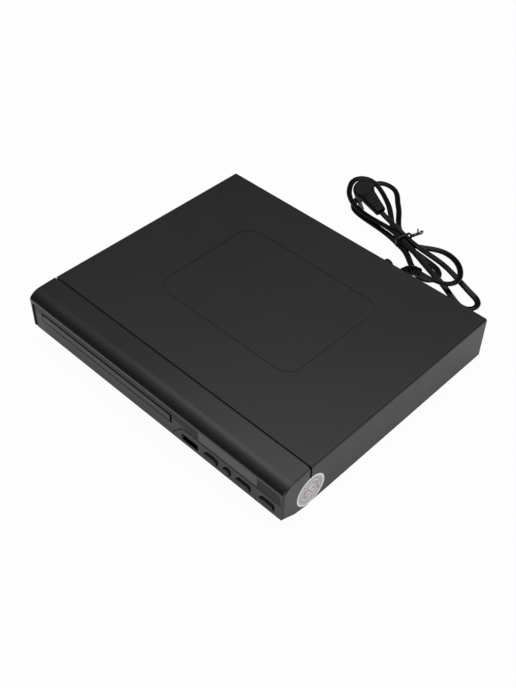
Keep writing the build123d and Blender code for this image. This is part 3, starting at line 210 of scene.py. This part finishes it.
def makeFloor():
    far = floorLook["reach"]
    mesh = bpy.data.meshes.new("floor")
    mesh.from_pydata([(-far, -far, 0), (far, -far, 0), (far, far, 0), (-far, far, 0)], [], [(0, 1, 2, 3)])
    floor = bpy.data.objects.new("floor", mesh)
    floor.location.z = -floorLook["below"]
    scene.collection.objects.link(floor)
    mat = bpy.data.materials.new("studioFloor")
    mat.use_nodes = True
    tree = mat.node_tree
    matt = tree.nodes["Principled BSDF"]
    matt.inputs["Base Color"].default_value = [floorLook["paint"]] * 3 + [1]
    matt.inputs["Roughness"].default_value = floorLook["rough"]
    glow = tree.nodes.new("ShaderNodeEmission")
    glow.inputs["Color"].default_value = (1, 1, 1, 1)
    camera, shiny = lightPath(tree)
    white = calc(tree, "MAXIMUM", calc(tree, "MULTIPLY", camera, floorLook["seen"]),
                 calc(tree, "MULTIPLY", shiny, floorLook["mirrored"]))
    tree.links.new(mixShaders(tree, white, matt.outputs[0], glow.outputs[0]),
                   tree.nodes["Material Output"].inputs[0])
    mesh.materials.append(mat)


makeWorld()
makeFloor()
for lampName in ("overhead", "front", "side"):
    areaLight(lampName, studio[lampName])
scene.view_settings.view_transform = "Standard"
print("studio lit")

# shader groups that several finishes share
textures = {
    "grain": {"scale": 900.0, "soft": 0.5, "detail": 3.0},
    "handling": {"scale": 18.0, "detail": 5.0, "rough": 0.6, "span": (0.3, 0.7)},
    "rolled": {"scale": 60.0, "stretch": 40.0, "detail": 2.0},
}


def newGroup(name, ins, outs):
    # a shader group with these inputs, each a number or a place, and these outputs, all numbers
    group = bpy.data.node_groups.new(name, "ShaderNodeTree")
    for label, value in ins.items():
        kind = "NodeSocketFloat" if isinstance(value, float) else "NodeSocketVector"
        socket = group.interface.new_socket(name=label, in_out="INPUT", socket_type=kind)
        socket.default_value = value
    for label in outs:
        group.interface.new_socket(name=label, in_out="OUTPUT", socket_type="NodeSocketFloat")
    return group, group.nodes.new("NodeGroupInput"), group.nodes.new("NodeGroupOutput")


def grainGroup(look):
    # fine moulded or sprayed texture: a height for bump and a mask for colour
    group, entry, leave = newGroup("fineGrain", {"Scale": look["scale"], "Soft": look["soft"]},
                                   ("Height", "Mask"))
    coord = group.nodes.new("ShaderNodeTexCoord")
    noise = group.nodes.new("ShaderNodeTexNoise")
    noise.inputs["Detail"].default_value = look["detail"]
    cells = group.nodes.new("ShaderNodeTexVoronoi")
    blend = group.nodes.new("ShaderNodeMix")
    blend.data_type = "FLOAT"
    for pattern in (noise, cells):
        group.links.new(coord.outputs["Object"], pattern.inputs["Vector"])
        group.links.new(entry.outputs["Scale"], pattern.inputs["Scale"])
    group.links.new(entry.outputs["Soft"], blend.inputs[0])
    group.links.new(cells.outputs["Distance"], blend.inputs[2])
    group.links.new(noise.outputs["Fac"], blend.inputs[3])
    group.links.new(blend.outputs[0], leave.inputs["Height"])
    group.links.new(noise.outputs["Fac"], leave.inputs["Mask"])
    return group


def handlingGroup(look):
    # slow drifts of roughness and tone that a handled surface has
    group, entry, leave = newGroup("handling", {"Scale": look["scale"], "Low": 0.4, "High": 0.5},
                                   ("Roughness", "Mask"))
    coord = group.nodes.new("ShaderNodeTexCoord")
    noise = group.nodes.new("ShaderNodeTexNoise")
    noise.inputs["Detail"].default_value = look["detail"]
    noise.inputs["Roughness"].default_value = look["rough"]
    span = group.nodes.new("ShaderNodeMapRange")
    span.inputs["From Min"].default_value, span.inputs["From Max"].default_value = look["span"]
    group.links.new(coord.outputs["Object"], noise.inputs["Vector"])
    group.links.new(entry.outputs["Scale"], noise.inputs["Scale"])
    group.links.new(noise.outputs["Fac"], span.inputs["Value"])
    group.links.new(entry.outputs["Low"], span.inputs["To Min"])
    group.links.new(entry.outputs["High"], span.inputs["To Max"])
    group.links.new(span.outputs["Result"], leave.inputs["Roughness"])
    group.links.new(noise.outputs["Fac"], leave.inputs["Mask"])
    return group


def rolledGroup(look):
    # long fine lines of rolled or ground metal, along X
    group, entry, leave = newGroup("rolledLines", {"Scale": look["scale"]}, ("Height", "Mask"))
    coord = group.nodes.new("ShaderNodeTexCoord")
    stretch = group.nodes.new("ShaderNodeMapping")
    stretch.inputs["Scale"].default_value = (1.0, look["stretch"], look["stretch"])
    noise = group.nodes.new("ShaderNodeTexNoise")
    noise.inputs["Detail"].default_value = look["detail"]
    group.links.new(coord.outputs["Object"], stretch.inputs["Vector"])
    group.links.new(stretch.outputs["Vector"], noise.inputs["Vector"])
    group.links.new(entry.outputs["Scale"], noise.inputs["Scale"])
    group.links.new(noise.outputs["Fac"], leave.inputs["Height"])
    group.links.new(noise.outputs["Fac"], leave.inputs["Mask"])
    return group


fineGrain = grainGroup(textures["grain"])
handling = handlingGroup(textures["handling"])
rolledLines = rolledGroup(textures["rolled"])


def finish(name, color, rough=(0.4, 0.5), metallic=0.0, specular=0.5, coat=0.0,
           grain=900.0, bump=0.02, drift=0.12, lines=False):
    # one finish: base colour with drift, roughness from handling, bump in mm from grain or rolled lines
    mat = bpy.data.materials.new(name)
    mat.use_nodes = True
    tree = mat.node_tree
    bsdf = tree.nodes["Principled BSDF"]
    bsdf.inputs["Metallic"].default_value = metallic
    bsdf.inputs["Specular IOR Level"].default_value = specular
    bsdf.inputs["Coat Weight"].default_value = coat
    bsdf.inputs["Coat Roughness"].default_value = 0.05
    touch = tree.nodes.new("ShaderNodeGroup")
    touch.node_tree = handling
    touch.inputs["Low"].default_value, touch.inputs["High"].default_value = rough
    texture = tree.nodes.new("ShaderNodeGroup")
    texture.node_tree = rolledLines if lines else fineGrain
    texture.inputs["Scale"].default_value = grain
    low = [c * (1 - drift) for c in color[:3]] + [1]
    high = [min(1, c * (1 + drift)) for c in color[:3]] + [1]
    masks = calc(tree, "ADD", touch.outputs["Mask"], texture.outputs["Mask"])
    tone = mixColours(tree, calc(tree, "MULTIPLY", masks, 0.5), low, high)
    dent = tree.nodes.new("ShaderNodeBump")
    dent.inputs["Strength"].default_value = 1.0
    dent.inputs["Distance"].default_value = bump * mm
    tree.links.new(tone, bsdf.inputs["Base Color"])
    tree.links.new(touch.outputs["Roughness"], bsdf.inputs["Roughness"])
    tree.links.new(texture.outputs["Height"], dent.inputs["Height"])
    tree.links.new(dent.outputs["Normal"], bsdf.inputs["Normal"])
    return mat


# generic round seal; lengths are shares of its radius
seal = {
    "field": shade(208, 208, 212),
    "film": shade(230, 230, 232),
    "ink": shade(112, 112, 116),
    "warm": shade(184, 152, 156),
    "rim": 0.87,
    "rimInk": (0.02, 0.5),  # half width of the line at the rim, and how much ink it has
    "rings": [(0.74, 0.08, 38.0), (0.5, 0.07, 24.0)],  # middle, half width, marks round it
    "gaps": 0.15,
    "heart": (0.62, 0.3, 0.5),  # half width, half height and share left bare of the warm band
    "blots": {"scale": 620.0, "detail": 2.0, "turn": 9.0},
}


def sealPrint():
    # masks of the seal: broken rings of small marks, a printed field and a warm middle band
    group, entry, leave = newGroup("sealPrint", {"Middle": (0, 0, 0), "Radius": 0.01},
                                   ("Field", "Ink", "Warm"))
    coord = group.nodes.new("ShaderNodeTexCoord")
    offset = group.nodes.new("ShaderNodeVectorMath")
    offset.operation = "SUBTRACT"
    group.links.new(coord.outputs["Object"], offset.inputs[0])
    group.links.new(entry.outputs["Middle"], offset.inputs[1])
    parts = group.nodes.new("ShaderNodeSeparateXYZ")
    group.links.new(offset.outputs[0], parts.inputs[0])
    wide = calc(group, "DIVIDE", parts.outputs["Y"], entry.outputs["Radius"])
    high = calc(group, "DIVIDE", parts.outputs["Z"], entry.outputs["Radius"])
    out = calc(group, "SQRT", calc(group, "ADD", calc(group, "MULTIPLY", wide, wide),
                                   calc(group, "MULTIPLY", high, high)))
    turn = calc(group, "ARCTAN2", high, wide)
    blots = group.nodes.new("ShaderNodeTexNoise")
    blots.inputs["Scale"].default_value = seal["blots"]["scale"]
    blots.inputs["Detail"].default_value = seal["blots"]["detail"]
    group.links.new(offset.outputs[0], blots.inputs["Vector"])
    unevenness = calc(group, "MULTIPLY", blots.outputs["Fac"], seal["blots"]["turn"])
    ink = 0.0
    for middle, halfWidth, marks in seal["rings"]:
        ring = calc(group, "COMPARE", out, middle, halfWidth)
        wave = calc(group, "SINE", calc(group, "ADD", calc(group, "MULTIPLY", turn, marks), unevenness))
        strokes = calc(group, "GREATER_THAN", wave, seal["gaps"])
        ink = calc(group, "MAXIMUM", calc(group, "MULTIPLY", ring, strokes), ink)
    lineHalf, lineInk = seal["rimInk"]
    edge = calc(group, "COMPARE", out, seal["rim"], lineHalf)
    ink = calc(group, "MAXIMUM", ink, calc(group, "MULTIPLY", edge, lineInk))
    field = calc(group, "LESS_THAN", out, seal["rim"])
    bandWide, bandHigh, bare = seal["heart"]
    band = calc(group, "MULTIPLY", calc(group, "LESS_THAN", calc(group, "ABSOLUTE", wide), bandWide),
                calc(group, "LESS_THAN", calc(group, "ABSOLUTE", high), bandHigh))
    warm = calc(group, "MULTIPLY", band, calc(group, "GREATER_THAN", blots.outputs["Fac"], bare))
    for label, mask in (("Field", field), ("Ink", ink), ("Warm", warm)):
        group.links.new(mask, leave.inputs[label])
    return group


def sealFinish():
    mat = finish("sealFilm", seal["film"], rough=(0.3, 0.4), grain=1200, bump=0.004, drift=0.03)
    tree = mat.node_tree
    low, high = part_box("side_seal")
    marks = tree.nodes.new("ShaderNodeGroup")
    marks.node_tree = sealPrint()
    marks.inputs["Middle"].default_value = [(a + b) / 2 for a, b in zip(low, high)]
    marks.inputs["Radius"].default_value = (high[1] - low[1]) / 2
    base = tree.nodes["Principled BSDF"].inputs["Base Color"]
    colour = base.links[0].from_socket
    for label, tint in (("Field", seal["field"]), ("Warm", seal["warm"]), ("Ink", seal["ink"])):
        colour = mixColours(tree, marks.outputs[label], colour, tint)
    tree.links.new(colour, base)
    return mat


def dress(mat, *names):
    # one finish on CAD parts
    for name in names:
        node = nodes[name]
        node.data.materials.clear()
        node.data.materials.append(mat)


# what finishes of one kind share
painted = {"grain": 1400, "bump": 0.008, "drift": 0.06}
satin = {"grain": 1600, "bump": 0.003, "drift": 0.05}
glossy = {"grain": 500, "bump": 0.001, "drift": 0.04}
metal = {"metallic": 1.0, "lines": True}

# case
dress(finish("coverPaint", shade(28, 29, 30), rough=(0.32, 0.38), **painted), "top_cover")
dress(finish("rearPaint", shade(36, 37, 38), rough=(0.42, 0.5), **painted), "rear_panel", "traverse_frame")
dress(finish("zincSheet", shade(176, 178, 180), rough=(0.3, 0.42), grain=60, bump=0.004, **metal),
      "base_pan", "board_standoffs", "clamp_bridge", "heat_sink")
dress(finish("blackRubber", shade(34), rough=(0.7, 0.8), grain=800, bump=0.02),
      "feet", "drive_belt", "turntable")
dress(finish("darkScrew", shade(60), rough=(0.3, 0.4), metallic=0.9, grain=90, lines=True, bump=0.003),
      "screws")
dress(sealFinish(), "side_seal")

# front
dress(finish("bezelSatin", shade(26, 27, 28), rough=(0.22, 0.28), **satin), "front_bezel", "key_panel")
dress(finish("pianoStrip", shade(14), rough=(0.1, 0.14), specular=0.18, **glossy), "glossy_strip")
dress(finish("doorFace", shade(24), rough=(0.12, 0.16), **glossy), "tray_door")
dress(finish("smokedWindow", shade(34), rough=(0.05, 0.08), coat=0.35, **glossy), "display_window")
dress(finish("keySatin", shade(18), rough=(0.26, 0.32), specular=0.35, **satin),
      "power_button", "play_button", "stop_button", "eject_button")

# disc tray, loader and traverse
dress(finish("trayMoulding", shade(36), rough=(0.42, 0.52), grain=1100, bump=0.012),
      "disc_tray", "loader_frame", "cam_slider", "pickup_sled")
dress(finish("whiteMoulding", shade(222, 221, 214), rough=(0.35, 0.45), grain=900, bump=0.006, drift=0.03),
      "drive_gear", "belt_wheel", "motor_pulley", "clamper")
dress(finish("platedSteel", shade(170), rough=(0.25, 0.35), grain=70, bump=0.003, **metal),
      "loading_motor", "spindle_motor", "sled_motor")
dress(finish("groundRod", shade(200), rough=(0.12, 0.2), grain=120, bump=0.002, **metal),
      "guide_rods", "lead_screw", "clamp_magnet")
dress(finish("lensGlass", shade(70, 90, 140), rough=(0.03, 0.06), grain=400, bump=0.0005, coat=1.0),
      "pickup_lens")

# boards
dress(finish("greenBoard", shade(20, 84, 44), rough=(0.3, 0.4), grain=500, bump=0.01, drift=0.15),
      "main_board", "front_board")
dress(finish("brownLaminate", shade(164, 126, 74), rough=(0.5, 0.6), grain=700, bump=0.01, drift=0.1),
      "power_board")
dress(finish("chipBlack", shade(40), rough=(0.4, 0.5), grain=1500, bump=0.006),
      "main_chips", "key_switches", "ir_receiver", "display_module", "jack_body")
dress(finish("capacitorSleeve", shade(34, 46, 100), rough=(0.2, 0.3), grain=700, bump=0.002),
      "main_capacitors", "bulk_capacitor")
dress(finish("coilTape", shade(200, 178, 60), rough=(0.4, 0.5), grain=600, bump=0.01),
      "transformer", "power_parts")
dress(finish("ribbonWhite", shade(214), rough=(0.45, 0.5), grain=300, bump=0.01), "front_ribbon")

# sockets
dress(finish("tinPlate", shade(196, 192, 182), rough=(0.18, 0.28), grain=90, bump=0.002, **metal),
      "hdmi_socket")
# dark metal for the jack sleeves and the USB socket; on the USB socket this dark tone is painted shade,
# the shade inside its opening put on its tin shell
dress(finish("darkPlateAndPaintedShade", shade(46), rough=(0.3, 0.4), grain=90, bump=0.002, **metal),
      "jack_sleeves", "usb_socket")
dress(finish("insertYellow", shade(210, 176, 40), rough=(0.3, 0.4), grain=900, bump=0.004), "jack_inserts")

# plug, strain relief, cord and tie
dress(finish("plugMoulding", shade(7), rough=(0.34, 0.42), specular=0.16,
             grain=1200, bump=0.008, drift=0.1), "plug_body", "cord_bush")
dress(finish("dullNickel", shade(120, 118, 112), rough=(0.34, 0.46), grain=90, bump=0.003, **metal),
      "plug_blades")
cordSheath = finish("cordSheath", shade(6), rough=(0.18, 0.24), specular=0.25,
                    grain=700, bump=0.005, drift=0.1)
tieSheath = finish("tieSheath", shade(10), rough=(0.34, 0.44), grain=900, bump=0.008)
print("finishes on the CAD parts")


def newPiece(name, mesh, mat, body="case"):
    piece = bpy.data.objects.new(name, mesh)
    scene.collection.objects.link(piece)
    mesh.materials.append(mat)
    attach(piece, body)
    return piece


# mains cord, in mm; places on the tied hank are along it, across it and up from the surface
cord = {
    "tie": (4.5, 156.0),  # where the hank is tied
    "heading": (0.956, -0.293),  # of the hank
    "width": 4.6,
    "lobe": 1.35,  # radius of each conductor's sheath
    "lobeApart": 0.95,  # from the cord's middle
    "exit": (46.5, 117.5, 20.5),  # where it leaves the strain relief
    "lead": [(46.1, 117.1, 20.9), (46.5, 117.5, 20.5), (49.6, 120.7, 17.4), (52.8, 123.8, 14.5),
             (56.6, 126.8, 12.6), (61.2, 129.9, 11.2), (64.9, 134.4, 10.5), (65.7, 141.0, 10.0),
             (62.9, 148.0, 9.5), (58.4, 154.2, 8.4), (52.3, 160.2, 6.9), (44.8, 164.9, 5.3),
             (37.0, 167.4, 3.9), (30.0, 167.0, 3.0)],
    "join": (16.5, 13.8, 2.7),  # where the lead meets the hank
    "half": 5.0,  # half of the straight run under the tie
    # strands under the tie, as across and up
    "slots": {"lead": (4.6, 2.7), "wide": (-4.6, 2.7), "cross": (0.0, 2.7), "over": (-2.3, 7.1),
              "plug": (2.3, 7.1)},
    "neck": (-25.6, -5.3, 17.0),  # where it enters the plug
    "neckTurn": 0.05,
    "neckDip": 0.233,  # radians
    "step": 5.0,
    "bow": 0.17,  # how far a span that turns swings out
    # slow turns about its own line: radians, and the phase they run through from end to end
    "roll": ((0.28, 31.0), (0.12, 83.0)),
}
# heights of a strand: on the surface, on another strand, and near the tie
lying = 1.9
riding = 6.0
tied = 6.2
# each loop: the slots it leaves and enters by, its side, and its places with their headings
hankLoops = [
    ("lead", "wide", -1, [((-41.0, 24.0, lying), (-0.9, 0.43)), ((-60.5, 34.0, lying), (-1.0, 0.12)),
                          ((-75.0, 23.5, lying), (0.2, -1.0)), ((-67.5, 6.0, lying), (0.36, -0.93)),
                          ((-61.0, -5.5, lying), (0.62, -0.78)), ((-49.0, -10.4, lying), (1.0, 0.08))]),
    ("wide", "cross", 1, [((38.2, -13.0, lying), (1.0, 0.0)), ((47.0, -4.2, lying), (0.0, 1.0)),
                          ((38.2, 4.6, lying), (-1.0, 0.0))]),
    ("cross", "over", -1, [((-44.0, 15.2, riding), (-0.95, 0.3)), ((-72.5, 21.4, riding), (-1.0, 0.02)),
                           ((-83.6, 11.0, riding), (0.1, -1.0)), ((-74.0, -2.0, riding), (0.76, -0.65)),
                           ((-60.0, -9.0, riding), (0.96, -0.28)), ((-46.0, -10.0, tied), (1.0, 0.06))]),
    ("over", "plug", 1, [((51.0, -5.0, riding), (1.0, 0.0)), ((78.2, -5.6, lying), (1.0, 0.0)),
                         ((86.0, 2.2, lying), (0.0, 1.0)), ((78.2, 10.0, lying), (-1.0, 0.0)),
                         ((44.0, 8.4, tied), (-1.0, 0.0))]),
]


def fromTie(along, across, height):
    ax, ay = cord["heading"]
    x = cord["tie"][0] + along * ax - across * ay
    y = cord["tie"][1] + along * ay + across * ax
    return Vector((x, y, height)) * mm


def wayOf(along, across=0.0):
    ax, ay = cord["heading"]
    return Vector((along * ax - across * ay, along * ay + across * ax, 0)).normalized()


def loopStations(loop):
    # places and headings round one loop of the hank, from its first slot to its last
    first, last, side, places = loop
    stations = [(fromTie(side * cord["half"], *cord["slots"][first]), wayOf(side))]
    stations += [(fromTie(*place), wayOf(*way)) for place, way in places]
    return stations + [(fromTie(side * cord["half"], *cord["slots"][last]), wayOf(-side))]


def easedSpan(start, leave, end, arrive):
    # points along a smooth span from one place and heading to the next, without its last
    chord = (end - start).length
    pull = chord * (1 + cord["bow"] * (1 - leave.dot(arrive)))
    count = max(2, round(chord / (cord["step"] * mm)))
    points = []
    for n in range(count):
        t = n / count
        points.append(start * (2 * t ** 3 - 3 * t ** 2 + 1) + leave * pull * (t ** 3 - 2 * t ** 2 + t)
                      + end * (3 * t ** 2 - 2 * t ** 3) + arrive * pull * (t ** 3 - t ** 2))
    return points


def cordRoute():
    # from the strain relief round the hank's four loops to the plug
    lead = [Vector(p) * mm for p in cord["lead"]]
    join = fromTie(*cord["join"])
    stations = [(join, (join - lead[-1]).normalized()),
                (fromTie(cord["half"], *cord["slots"]["lead"]), wayOf(-1))]
    for loop in hankLoops:
        stations += loopStations(loop)
    intoPlug = wayOf(1.0, cord["neckTurn"]) * math.cos(cord["neckDip"])
    intoPlug.z = -math.sin(cord["neckDip"])
    stations += [(fromTie(-cord["half"], *cord["slots"]["plug"]), wayOf(-1)),
                 (fromTie(*cord["neck"]), -intoPlug)]
    points = lead
    for (start, leave), (end, arrive) in zip(stations, stations[1:]):
        points += easedSpan(start, leave, end, arrive)
    return points + [stations[-1][0]]


def smoothLine(points, name, steps=4, order=3):
    # the route's own NURBS line, read back as points
    curve = bpy.data.curves.new(name, "CURVE")
    curve.dimensions = "3D"
    curve.resolution_u = steps
    spline = curve.splines.new("NURBS")
    spline.points.add(len(points) - 1)
    for place, point in zip(spline.points, points):
        place.co = (*point, 1.0)
    spline.order_u = order
    spline.use_endpoint_u = True
    holder = bpy.data.objects.new(name, curve)
    mesh = bpy.data.meshes.new_from_object(holder)
    line = [v.co.copy() for v in mesh.vertices]
    bpy.data.objects.remove(holder)
    bpy.data.curves.remove(curve)
    bpy.data.meshes.remove(mesh)
    return line


def twinSection(count=8):
    # figure-eight outline of a flat twin cord, as (sideways, up) pairs
    lobe, apart = cord["lobe"] * mm, cord["lobeApart"] * mm
    reach = math.pi - math.acos(apart / lobe)  # from a lobe's outer end to the waist
    section = []
    for side in (1, -1):
        for k in range(count):
            angle = -reach + 2 * reach * k / (count - 1)
            section.append((side * (apart + lobe * math.cos(angle)), side * lobe * math.sin(angle)))
    return section


def roundSection(radius, count=8):
    return [(radius * math.cos(2 * math.pi * k / count), radius * math.sin(2 * math.pi * k / count))
            for k in range(count)]


def flatSection(halfWidth, halfThickness):
    return [(w * halfWidth, h * halfThickness) for w, h in ((-1, -1), (1, -1), (1, 1), (-1, 1))]


def sweepMesh(name, line, section, roll=None, across=None):
    # a tube of the section along line, turned about it by roll(share) radians, or held level with across
    tooSteep = 0.05  # sideways stays as it was where the line stands this near to upright
    mesh = bpy.data.meshes.new(name)
    bm = bmesh.new()
    rings = []
    total = len(line) - 1
    sideways = None
    for n, point in enumerate(line):
        ahead = (line[min(n + 1, total)] - line[max(n - 1, 0)]).normalized()
        level = across if across else ahead.cross(Vector((0, 0, 1)))
        sideways = level.normalized() if level.length > tooSteep else sideways
        sideways = (sideways - ahead * sideways.dot(ahead)).normalized()
        up = sideways.cross(ahead)
        angle = roll(n / total) if roll else 0.0
        a = sideways * math.cos(angle) + up * math.sin(angle)
        b = up * math.cos(angle) - sideways * math.sin(angle)
        rings.append([bm.verts.new(point + a * u + b * v) for u, v in section])
    size = len(section)
    for near, far in zip(rings, rings[1:]):
        for k in range(size):
            face = bm.faces.new((near[k], near[(k + 1) % size], far[(k + 1) % size], far[k]))
            face.smooth = True
    bm.faces.new(reversed(rings[0]))
    bm.faces.new(rings[-1])
    bmesh.ops.recalc_face_normals(bm, faces=bm.faces)
    bm.to_mesh(mesh)
    bm.free()
    return mesh


# wire tie round the hank, in mm: a flat band, its two ends twisted together, a small eye and a loose tip
tie = {
    "across": 6.9,  # half width, lowest, highest and corner radius of the band's middle line
    "low": 0.45,
    "high": 9.45,
    "corner": 2.4,
    "cornerSteps": 5,
    "band": (1.1, 0.28),  # half width and half thickness
    "wire": 0.6,  # radius of the twisted ends
    "lay": 0.8,  # how far each lies from the twist's middle
    "twist": (6.7, 14.2),
    "twistSteps": 40,
    "turns": 3.4,
    "height": 6.0,
    "eye": 1.7,
    "eyeAfter": 0.5,  # from the twist to the eye
    "eyeLean": 0.4,
    "eyeSteps": 15,
    "tipBefore": 1.0,  # the tip leaves the twist before its end
    "tip": [(-0.6, 13.6, 7.6), (-1.4, 13.9, 9.6)],
}


def bandLine():
    middle = (tie["low"] + tie["high"]) / 2
    halfHigh, corner = (tie["high"] - tie["low"]) / 2, tie["corner"]
    line = [fromTie(0, tie["across"], middle)]
    for quarter, (a, h) in enumerate(((1, 1), (-1, 1), (-1, -1), (1, -1))):
        for step in range(tie["cornerSteps"] + 1):
            angle = math.radians(90 * (quarter + step / tie["cornerSteps"]))
            line.append(fromTie(0, a * (tie["across"] - corner) + corner * math.cos(angle),
                                middle + h * (halfHigh - corner) + corner * math.sin(angle)))
    return line + [line[0]]


def twistLine(phase, end, tail):
    # one end of the wire, twisted round the other as far as end, and then on through the tail
    start = tie["twist"][0]
    line = []
    for n in range(tie["twistSteps"] + 1):
        share = n / tie["twistSteps"]
        angle = phase + 2 * math.pi * tie["turns"] * share
        line.append(fromTie(tie["lay"] * math.cos(angle), start + (end - start) * share,
                            tie["height"] + tie["lay"] * math.sin(angle)))
    return line + [fromTie(*place) for place in tail]


def eyeTail():
    # the wire's end turned round into an eye beyond the twist
    middle = tie["twist"][1] + tie["eye"] + tie["eyeAfter"]
    places = []
    for n in range(tie["eyeSteps"]):
        angle = math.pi + 2 * math.pi * n / tie["eyeSteps"]
        places.append((tie["eyeLean"] * math.sin(angle), middle + tie["eye"] * math.cos(angle),
                       tie["height"] + tie["eye"] * math.sin(angle)))
    return places


def joinPieces(name, pieces):
    # several meshes as one named piece
    bm = bmesh.new()
    for piece in pieces:
        bm.from_mesh(piece)
        bpy.data.meshes.remove(piece)
    mesh = bpy.data.meshes.new(name)
    bm.to_mesh(mesh)
    bm.free()
    return mesh


def makeTie():
    flat = flatSection(*(half * mm for half in tie["band"]))
    wire = roundSection(tie["wire"] * mm)
    twistEnd = tie["twist"][1]
    band = sweepMesh("tieBand", bandLine(), flat, across=wayOf(1))
    eye = sweepMesh("tieEye", twistLine(0.0, twistEnd, eyeTail()), wire)
    tip = sweepMesh("tieTip", twistLine(math.pi, twistEnd - tie["tipBefore"], tie["tip"]), wire)
    piece = newPiece("twistTie", joinPieces("twistTie", [band, eye, tip]), tieSheath)
    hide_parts("twist_tie")
    return piece


def cordRoll(share):
    return sum(turn * math.sin(phase * share) for turn, phase in cord["roll"])


def makeCord():
    line = smoothLine(cordRoute(), "cordRoute")
    piece = newPiece("mainsCord", sweepMesh("mainsCord", line, twinSection(), roll=cordRoll), cordSheath)
    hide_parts("cord_lead", "cord_hank")


twistTie = makeTie()
print("wire tie on the hank")
makeCord()
